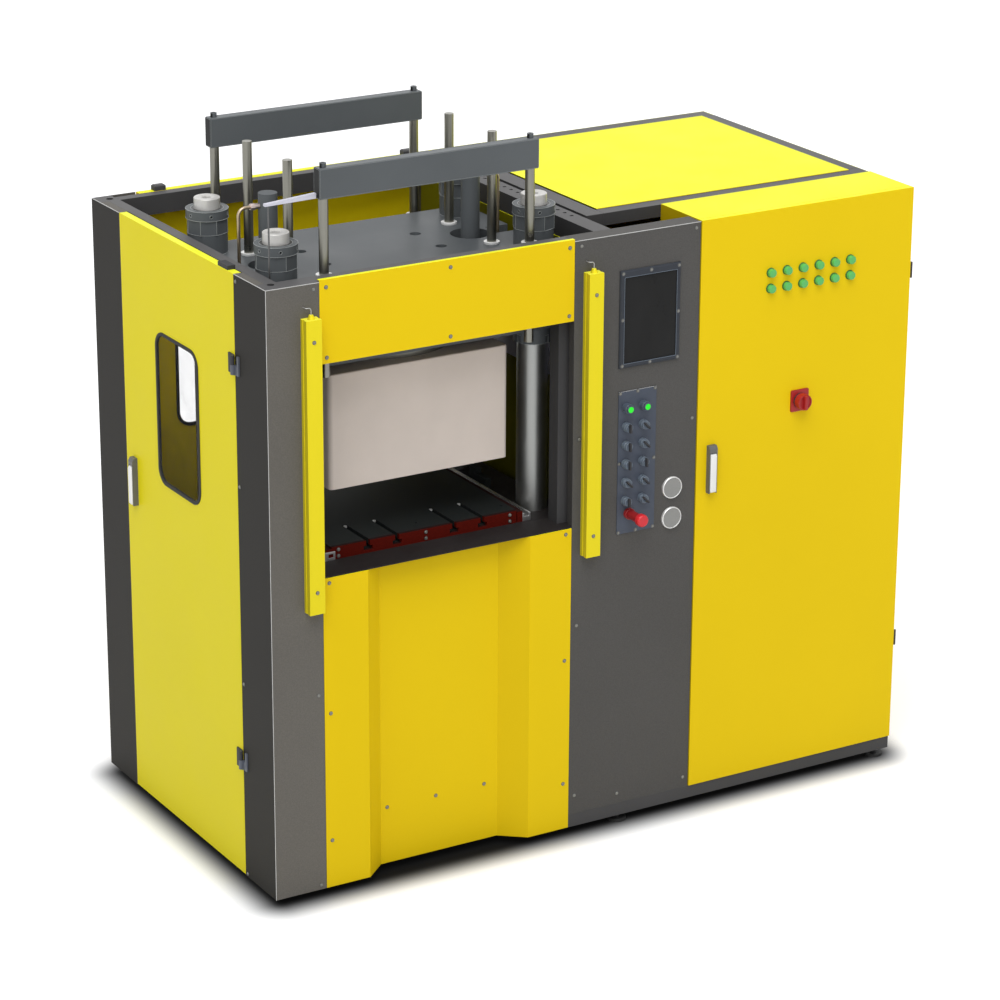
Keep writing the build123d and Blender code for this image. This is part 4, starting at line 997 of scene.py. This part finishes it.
class PRESS_OT_screws(bpy.types.Operator):
    """Domed socket heads over the sheet screws, each with its washer"""

    bl_idname = "press.screws"
    bl_label = "Screw heads"

    # A solid up to the largest size is a screw, and one of the usual size has a head as wide
    # as the property says, both in millimetres. A washer is this many times as wide.
    largest = 12
    usual = 9
    washer = 1.3

    def execute(self, context):
        r = sizes().screw / MM
        rim = r * self.washer
        heads, washers = Shape(), Shape()
        for box in solid_boxes("sheet_fixings"):
            span = size(box)
            if span.max() > self.largest:
                continue
            facing = "front" if span[1] < span[0] else "left"
            place = middle(box)
            place[1 if facing == "front" else 0] = box[1][1 if facing == "front" else 0]
            washers.add(turned([(rim, 0), (rim, 0.5), (r, 0.7)], 24), place, facing)
            heads.add(self.head(r * span.max() / self.usual, span.min()), place, facing)
        piece("screw_washers", washers, "sheet_fixings", "rod_dark")
        piece("screw_heads", heads, "sheet_fixings", "screw_zinc")
        return {"FINISHED"}

    def head(self, r, tall):
        """A dome over the plain head, sunk at its crown to a six-sided socket."""
        top = tall + 0.7
        return turned([
            (r, 0), (r, tall * 0.45), (r * 0.93, tall * 0.8), (r * 0.76, top * 0.95), (r * 0.52, top),
            (r * 0.46, top, 6), (r * 0.44, tall + 0.1, 6),
        ], 24)


class PRESS_OT_devices(bpy.types.Operator):
    """Collars, lit buttons, selectors, stop button and cover discs of the control panel"""

    bl_idname = "press.devices"
    bl_label = "Operator devices"

    # A selector whose box is taller than this many millimetres has its grip upright at rest
    upright_grip = 26

    def execute(self, context):
        self.rings()
        for node in sorted(n for n in NODES if n.startswith("push_button")):
            self.button(node)
        for node in sorted(n for n in NODES if n.startswith("selector")):
            self.selector(node)
        self.stop("emergency_stop")
        return {"FINISHED"}

    def rings(self):
        """Each collar and disc is turned from a profile fitted to its own box."""
        n = sizes().segments
        collars, barrels, stop, faces, rims = (Shape() for _ in range(5))
        for box in solid_boxes("panel_rings"):
            r, deep = size(box)[0] / 2, size(box)[1]
            place = front_centre(box)
            if r > 30:
                faces.add(turned([(r - 3, 0), (r - 3, deep - 2)], n), place, "front")
                rims.add(turned([
                    (r, 0), (r, deep - 1.5), (r - 1.2, deep), (r - 2.4, deep),
                    (r - 3.2, deep - 2.2), (r - 3.2, 0),
                ], n), place, "front", ring=True)
            elif r > 16:
                stop.add(self.collar(r, deep, 14.4), place, "front", ring=True)
            elif deep > 18:
                barrels.add(self.collar(r, deep, 11.4), place, "front", ring=True)
            else:
                collars.add(self.collar(r, deep, 8.4), place, "front", ring=True)
        for name, shape, finish in (
            ("selector_collars", collars, "collar_blue"), ("button_barrels", barrels, "barrel_blue"),
            ("stop_collar", stop, "stop_dark"), ("cover_disc_faces", faces, "disc_grey"),
            ("cover_disc_rims", rims, "rim_bright"),
        ):
            piece(name, shape, "panel_rings", finish, ["panel_rings"])

    def collar(self, r, deep, bore):
        """A flanged sleeve: a low wide foot, a groove, and a chamfered mouth."""
        return turned([
            (r, 0), (r, 3), (r - 0.8, 3.4), (r - 0.8, 4.6), (r, 5),
            (r, deep - 1.2), (r - 1.2, deep), (bore + 0.6, deep),
            (bore, deep - 0.6), (bore, 0),
        ], sizes().segments)

    def button(self, node):
        """A stepped lens: a dark skirt and a low dome of the lit colour."""
        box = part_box(node)
        r, deep = size(box)[0] / 2, size(box)[1]
        place = front_centre(box)
        skirt = Shape().add(turned([
            (r, 0), (r, deep - 2.4), (r - 0.8, deep - 1.6), (r - 2, deep - 1.6),
        ], sizes().segments), place, "front")
        lens = Shape().add(turned([
            (r - 2, deep - 2), (r - 2, deep - 1), (r - 3.4, deep - 0.35),
            (r - 6, deep - 0.1), (r - 9, deep),
        ], sizes().segments), place, "front")
        piece(node + "_skirt", skirt, node, "barrel_blue", [node])
        piece(node + "_lens", lens, node, "lit_green", [node])

    def selector(self, node):
        """A bevelled disc and a slim rounded grip, turned to where the solid's grip is."""
        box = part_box(node)
        _, deep, tall = size(box)
        angle = 0.0 if tall > self.upright_grip else math.radians(45)
        r = 12.5
        place = front_centre(box)
        grip_z = deep - 10
        disc = Shape().add(turned([
            (8, 0), (8, 12), (r, 13.4), (r, grip_z - 1),
            (r - 1.2, grip_z), (r - 2.2, grip_z), (r - 3, grip_z - 0.6),
        ], sizes().segments), place, "front")
        grip = rounded(6.4, 26.6, 2.2, [
            (0, grip_z - 1.2), (0, deep - 3), (0.6, deep - 1), (1.8, deep),
        ])
        piece(node + "_disc", disc, node, "collar_blue", [node])
        piece(node + "_grip", Shape().add(spun(grip, angle), place, "front"), node, "black_plastic",
              [node])

    def stop(self, node):
        """A straight neck and a mushroom head with a dished crown, both turned.

        The head is a millimetre smaller in radius than the solid's.
        """
        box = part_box(node)
        r, deep = size(box)[0] / 2 - 1, size(box)[1]
        place = front_centre(box)
        head_z = deep - 22
        neck = Shape().add(turned([
            (13.9, 0), (13.9, head_z), (12, head_z + 1),
        ], sizes().segments), place, "front")
        head = Shape().add(turned([
            (15, head_z), (r - 1, head_z + 0.6), (r, head_z + 2),
            (r, deep - 6), (r - 1, deep - 3), (r - 3, deep - 1),
            (r - 6, deep), (r - 9, deep - 0.3), (2, deep - 1.2),
        ], sizes().segments), place, "front")
        piece("stop_neck", neck, node, "stop_dark", [node])
        piece("stop_head", head, node, "stop_red", [node])


class PRESS_OT_main_switch(bpy.types.Operator):
    """Red escutcheon and rotary knob of the main switch"""

    bl_idname = "press.main_switch"
    bl_label = "Main switch"

    def execute(self, context):
        plate = max(solid_boxes("cabinet_fittings"), key=lambda box: size(box)[0])
        wide, _, tall = size(plate)
        place = front_centre(plate)
        thick = 5.4
        shape = Shape().add(rounded(wide + 0.6, tall + 0.6, 5.3, [
            (0, 0), (0, thick - 1.2), (0.5, thick - 0.3), (1.4, thick),
        ]), place, "front")
        piece("switch_plate", shape, "cabinet_fittings", "switch_red")
        self.knob("main_switch")
        return {"FINISHED"}

    def knob(self, node):
        """A skirt with a sunk face, and across it a slim ridge to turn it by."""
        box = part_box(node)
        r, deep, _ = size(box) / (2, 1, 1)
        place = front_centre(box)
        skirt = deep - 8
        shape = Shape().add(turned([
            (r, 0), (r, skirt - 2), (r - 0.6, skirt - 0.6), (r - 2, skirt),
            (r - 4.4, skirt), (r - 5.2, skirt - 2.5),
        ], sizes().segments), place, "front")
        shape.add(rounded(12, 2 * r - 5, 4, [
            (0, skirt - 4), (0, deep - 2.4), (0.8, deep - 0.7), (2.4, deep),
        ]), place, "front")
        piece("main_switch_knob", shape, node, "switch_red", [node])


class PRESS_OT_lamps(bpy.types.Operator):
    """Flat-faced lenses of the pilot lamps in their dark rims"""

    bl_idname = "press.lamps"
    bl_label = "Pilot lamps"

    def execute(self, context):
        lenses, rims = Shape(), Shape()
        for box in solid_boxes("pilot_lamps"):
            r, deep = size(box)[0] / 2, size(box)[1]
            place = front_centre(box)
            rims.add(turned([
                (r, 0), (r, 3), (r - 1, 4.4), (r - 2, 4.4),
            ], 32), place, "front")
            lenses.add(turned([
                (r - 2, 4), (r - 2, deep - 3), (r - 2.8, deep - 1),
                (r - 4.6, deep - 0.2), (r - 8, deep),
            ], 32), place, "front")
        piece("lamp_rims", rims, "pilot_lamps", "lamp_rim", ["pilot_lamps"])
        piece("lamp_lenses", lenses, "pilot_lamps", "lamp_green", ["pilot_lamps"])
        return {"FINISHED"}


class PRESS_OT_gaskets(bpy.types.Operator):
    """Half-round window gaskets over the plain ones, and the bezel's bright lip"""

    bl_idname = "press.gaskets"
    bl_label = "Gaskets and bezel lip"

    # The plain gasket's width and corner radius, the rib's overlap on each side, and how
    # deep the rib starts below the plain gasket's face, in millimetres
    width = 10
    corner = 50
    over = 0.3
    sunk = 3

    def execute(self, context):
        door = max(solid_boxes("left_door_fittings"), key=lambda box: size(box)[2])
        rear = max(solid_boxes("rear_fittings"), key=lambda box: size(box)[2])
        centre = middle(door)
        self.gasket("left_window_seal", "left_door_fittings", size(door)[1], size(door)[2],
                    (door[0][0] + self.sunk * MM, centre[1], centre[2]), "left")
        centre = middle(rear)
        self.gasket("rear_window_seal", "rear_fittings", size(rear)[0], size(rear)[2],
                    (centre[0], rear[1][1] - self.sunk * MM, centre[2]), "back")
        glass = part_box("touch_screen")
        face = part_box("control_plates")[0][1]
        centre = middle(glass)
        rib = self.band(size(glass)[0] + 3, size(glass)[2] + 3, 2, 1.5, 0.7)
        lip = Shape().add(rib, (centre[0], face, centre[2]), "front", ring=True)
        piece("bezel_lip", lip, "control_plates", "collar_blue")
        return {"FINISHED"}

    def band(self, wide, tall, corner, width, height):
        """A half-round rib round a rounded rectangle.

        Over the half turn a, its inset is w/2 (1 - cos a) and its height h sin a.
        """
        a = np.linspace(0, math.pi, 9)
        inset = width / 2 * (1 - np.cos(a))
        return rounded(wide, tall, corner, np.stack([inset, height * np.sin(a)], axis=-1), 10)

    def gasket(self, name, node, wide, tall, place, facing):
        """A rib a little wider than the plain gasket, so that it covers its edges."""
        more = 2 * self.over
        rib = self.band(wide + more, tall + more, self.corner + self.over, self.width + more,
                        sizes().seal / MM)
        piece(name, Shape().add(rib, place, facing, ring=True), node, "black_rubber")


class PRESS_OT_handles(bpy.types.Operator):
    """Lift levers of the two door handles, with a ring groove near the lower end"""

    bl_idname = "press.handles"
    bl_label = "Door handles"

    # Radius of the lever's round pivot, in millimetres
    pivot = 4.5

    def execute(self, context):
        self.lever("left_door_lever", "left")
        self.lever("cabinet_lever", "front")
        return {"FINISHED"}

    def lever(self, node, facing):
        """A bar of rounded rectangles carried up its length, and its round pivot."""
        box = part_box(node)
        span = size(box)
        along = 0 if facing == "left" else 1
        wide, deep, tall = span[1 - along], span[along], span[2] - self.pivot
        place = middle(box)
        place[along] = box[1][along]
        place[2] = box[0][2]
        bar = rounded(wide, deep, 3, [
            (2.4, 0), (0.8, 0.7), (0, 2.6), (0, 12), (0.7, 12.3),
            (0.7, 13.7), (0, 14), (0, tall - 2), (0.8, tall),
        ])
        bar[..., 1] += deep / 2 * MM
        shape = Shape().add(upright(bar), place, facing)
        pivot = sideways(turned([(self.pivot, -wide / 2), (self.pivot, wide / 2)], 24))
        shape.add(pivot + np.array([0, tall, self.pivot + 0.2]) * MM, place, facing)
        piece(node + "_bar", shape, node, "lever_white", [node])


class PRESS_OT_columns(bpy.types.Operator):
    """Socketed caps on the columns and hexagon nuts on the oil pipes"""

    bl_idname = "press.columns"
    bl_label = "Column caps and pipe nuts"

    # A solid of the pipes up to this height is a nut, in millimetres
    longest_nut = 50

    def execute(self, context):
        caps, nuts = Shape(), Shape()
        for box in solid_boxes("column_caps"):
            r, tall = size(box)[0] / 2, size(box)[2]
            place = middle(box)
            place[2] = box[0][2]
            caps.add(turned([
                (r, 0), (r, tall - 1.6), (r - 1.6, tall),
                (17, tall), (14.6, tall - 1.6, 6), (13.8, tall - 3, 6),
                (13.8, tall - 18, 6),
            ]), place)
        piece("column_cap_heads", caps, "column_caps", "cap_zinc", ["column_caps"])
        for box in solid_boxes("cylinder_pipes"):
            if size(box)[2] > self.longest_nut:
                continue
            place = middle(box)
            facing = "left" if place[0] < middle(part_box("cylinder_pipes"))[0] else "right"
            nuts.add(turned([
                (8.2, -2), (9.4, -1), (10.6, 0, 6), (10.6, 12, 6),
                (9.4, 13), (5.4, 14.6),
            ]), place, facing)
        piece("pipe_nuts", nuts, "cylinder_pipes", "nut_pink")
        return {"FINISHED"}


class PRESS_OT_edge_highlights(bpy.types.Operator):
    """Thin bright lines along folded and machined edges, painted highlights"""

    bl_idname = "press.worn_edges"
    bl_label = "Edge highlights"

    # How deep a line's centre lies inside its edge, as a share of the line's radius
    sunk = 0.55

    def execute(self, context):
        r = sizes().fold
        inside = self.sunk * r
        front, rear = sorted(solid_boxes("corner_covers"), key=lambda box: box[0][1])
        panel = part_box("control_panel")
        plate = min(solid_boxes("control_plates"), key=lambda box: size(box)[0])
        top = front[1][2] - inside
        left = front[0][0] + inside
        face = front[0][1] + inside
        corners = Shape()
        corners.add(rod((left, face, top), (front[1][0], face, top), r))
        corners.add(rod((left, face, top), (left, front[1][1], top), r))
        corners.add(rod((left, rear[0][1], top), (left, rear[1][1] - inside, top), r))
        corners.add(rod((left, face, front[0][2] + inside), (left, face, top), r * 0.8))
        piece("corner_edge_highlights", corners, "corner_covers", "edge_highlight_and_pin_steel")
        y = panel[0][1] + inside
        line = Shape().add(rod((panel[0][0], y, top), (panel[1][0], y, top), r))
        piece("panel_edge_highlight", line, "control_panel", "edge_highlight_and_pin_steel")
        y, z = plate[0][1] + inside, plate[1][2] - inside
        rim = Shape().add(rod((plate[0][0], y, z), (plate[1][0], y, z), 0.7 * r))
        piece("plate_edge_highlight", rim, "control_plates", "edge_highlight_and_pin_steel")
        # Painted highlights along the outer edges of the nuts and beams
        for node, part in (("column_nuts", 0.7), ("beam_front", 0.5), ("beam_rear", 0.5)):
            bright = Shape().lines(*edge_ends(node), r * part)
            finish = "nut_edge_highlight" if node == "column_nuts" else "beam_edge_highlight"
            piece(node + "_bright_edges", bright, node, finish)
        return {"FINISHED"}


class PRESS_OT_platen_pins(bpy.types.Operator):
    """Stop pins at the inner ends of the platen's T-slots"""

    bl_idname = "press.platen_pins"
    bl_label = "Platen pins"

    # Places of the slots either side of the platen's middle, and where they end
    slots = (-192, -96, 96, 192)
    slot_end = 128

    def execute(self, context):
        platen = max(solid_boxes("lower_platen"), key=lambda box: size(box)[0])
        centre = middle(platen)
        pins = Shape()
        for x in self.slots:
            place = (centre[0] + x * MM, platen[0][1] + self.slot_end * MM, platen[1][2])
            pins.add(turned([
                (5.4, -6), (5.4, -0.9), (4.8, -0.3),
                (2.8, -0.3, 6), (2.6, -2.4, 6),
            ]), place)
        piece("platen_pins", pins, "lower_platen", "edge_highlight_and_pin_steel")
        return {"FINISHED"}


class PRESS_PT_pieces(bpy.types.Panel):
    """Lists the operators and the values that they read"""

    bl_idname = "PRESS_PT_pieces"
    bl_label = "Rubber Vulcanizing Press"
    bl_space_type = "VIEW_3D"
    bl_region_type = "UI"
    bl_category = "Press"

    def draw(self, context):
        layout = self.layout
        for operator in OPERATORS:
            layout.operator(operator.bl_idname)
        for group in (context.scene.press_sizes, context.scene.press_colours):
            for key in group.bl_rna.properties.keys():
                if key not in ("rna_type", "name"):
                    layout.prop(group, key)


OPERATORS = (
    PRESS_OT_studio, PRESS_OT_finishes, PRESS_OT_edges, PRESS_OT_screws, PRESS_OT_devices,
    PRESS_OT_main_switch, PRESS_OT_lamps, PRESS_OT_gaskets, PRESS_OT_handles, PRESS_OT_columns,
    PRESS_OT_edge_highlights, PRESS_OT_platen_pins,
)
CLASSES = (PressColours, PressSizes, *OPERATORS, PRESS_PT_pieces)


def register():
    for cls in CLASSES:
        bpy.utils.register_class(cls)
    bpy.types.Scene.press_colours = PointerProperty(type=PressColours)
    bpy.types.Scene.press_sizes = PointerProperty(type=PressSizes)


def unregister():
    del bpy.types.Scene.press_sizes
    del bpy.types.Scene.press_colours
    for cls in reversed(CLASSES):
        bpy.utils.unregister_class(cls)


def main():
    register()
    for operator in OPERATORS:
        group, name = operator.bl_idname.split(".")
        getattr(getattr(bpy.ops, group), name)()


if __name__ == "__main__":
    main()
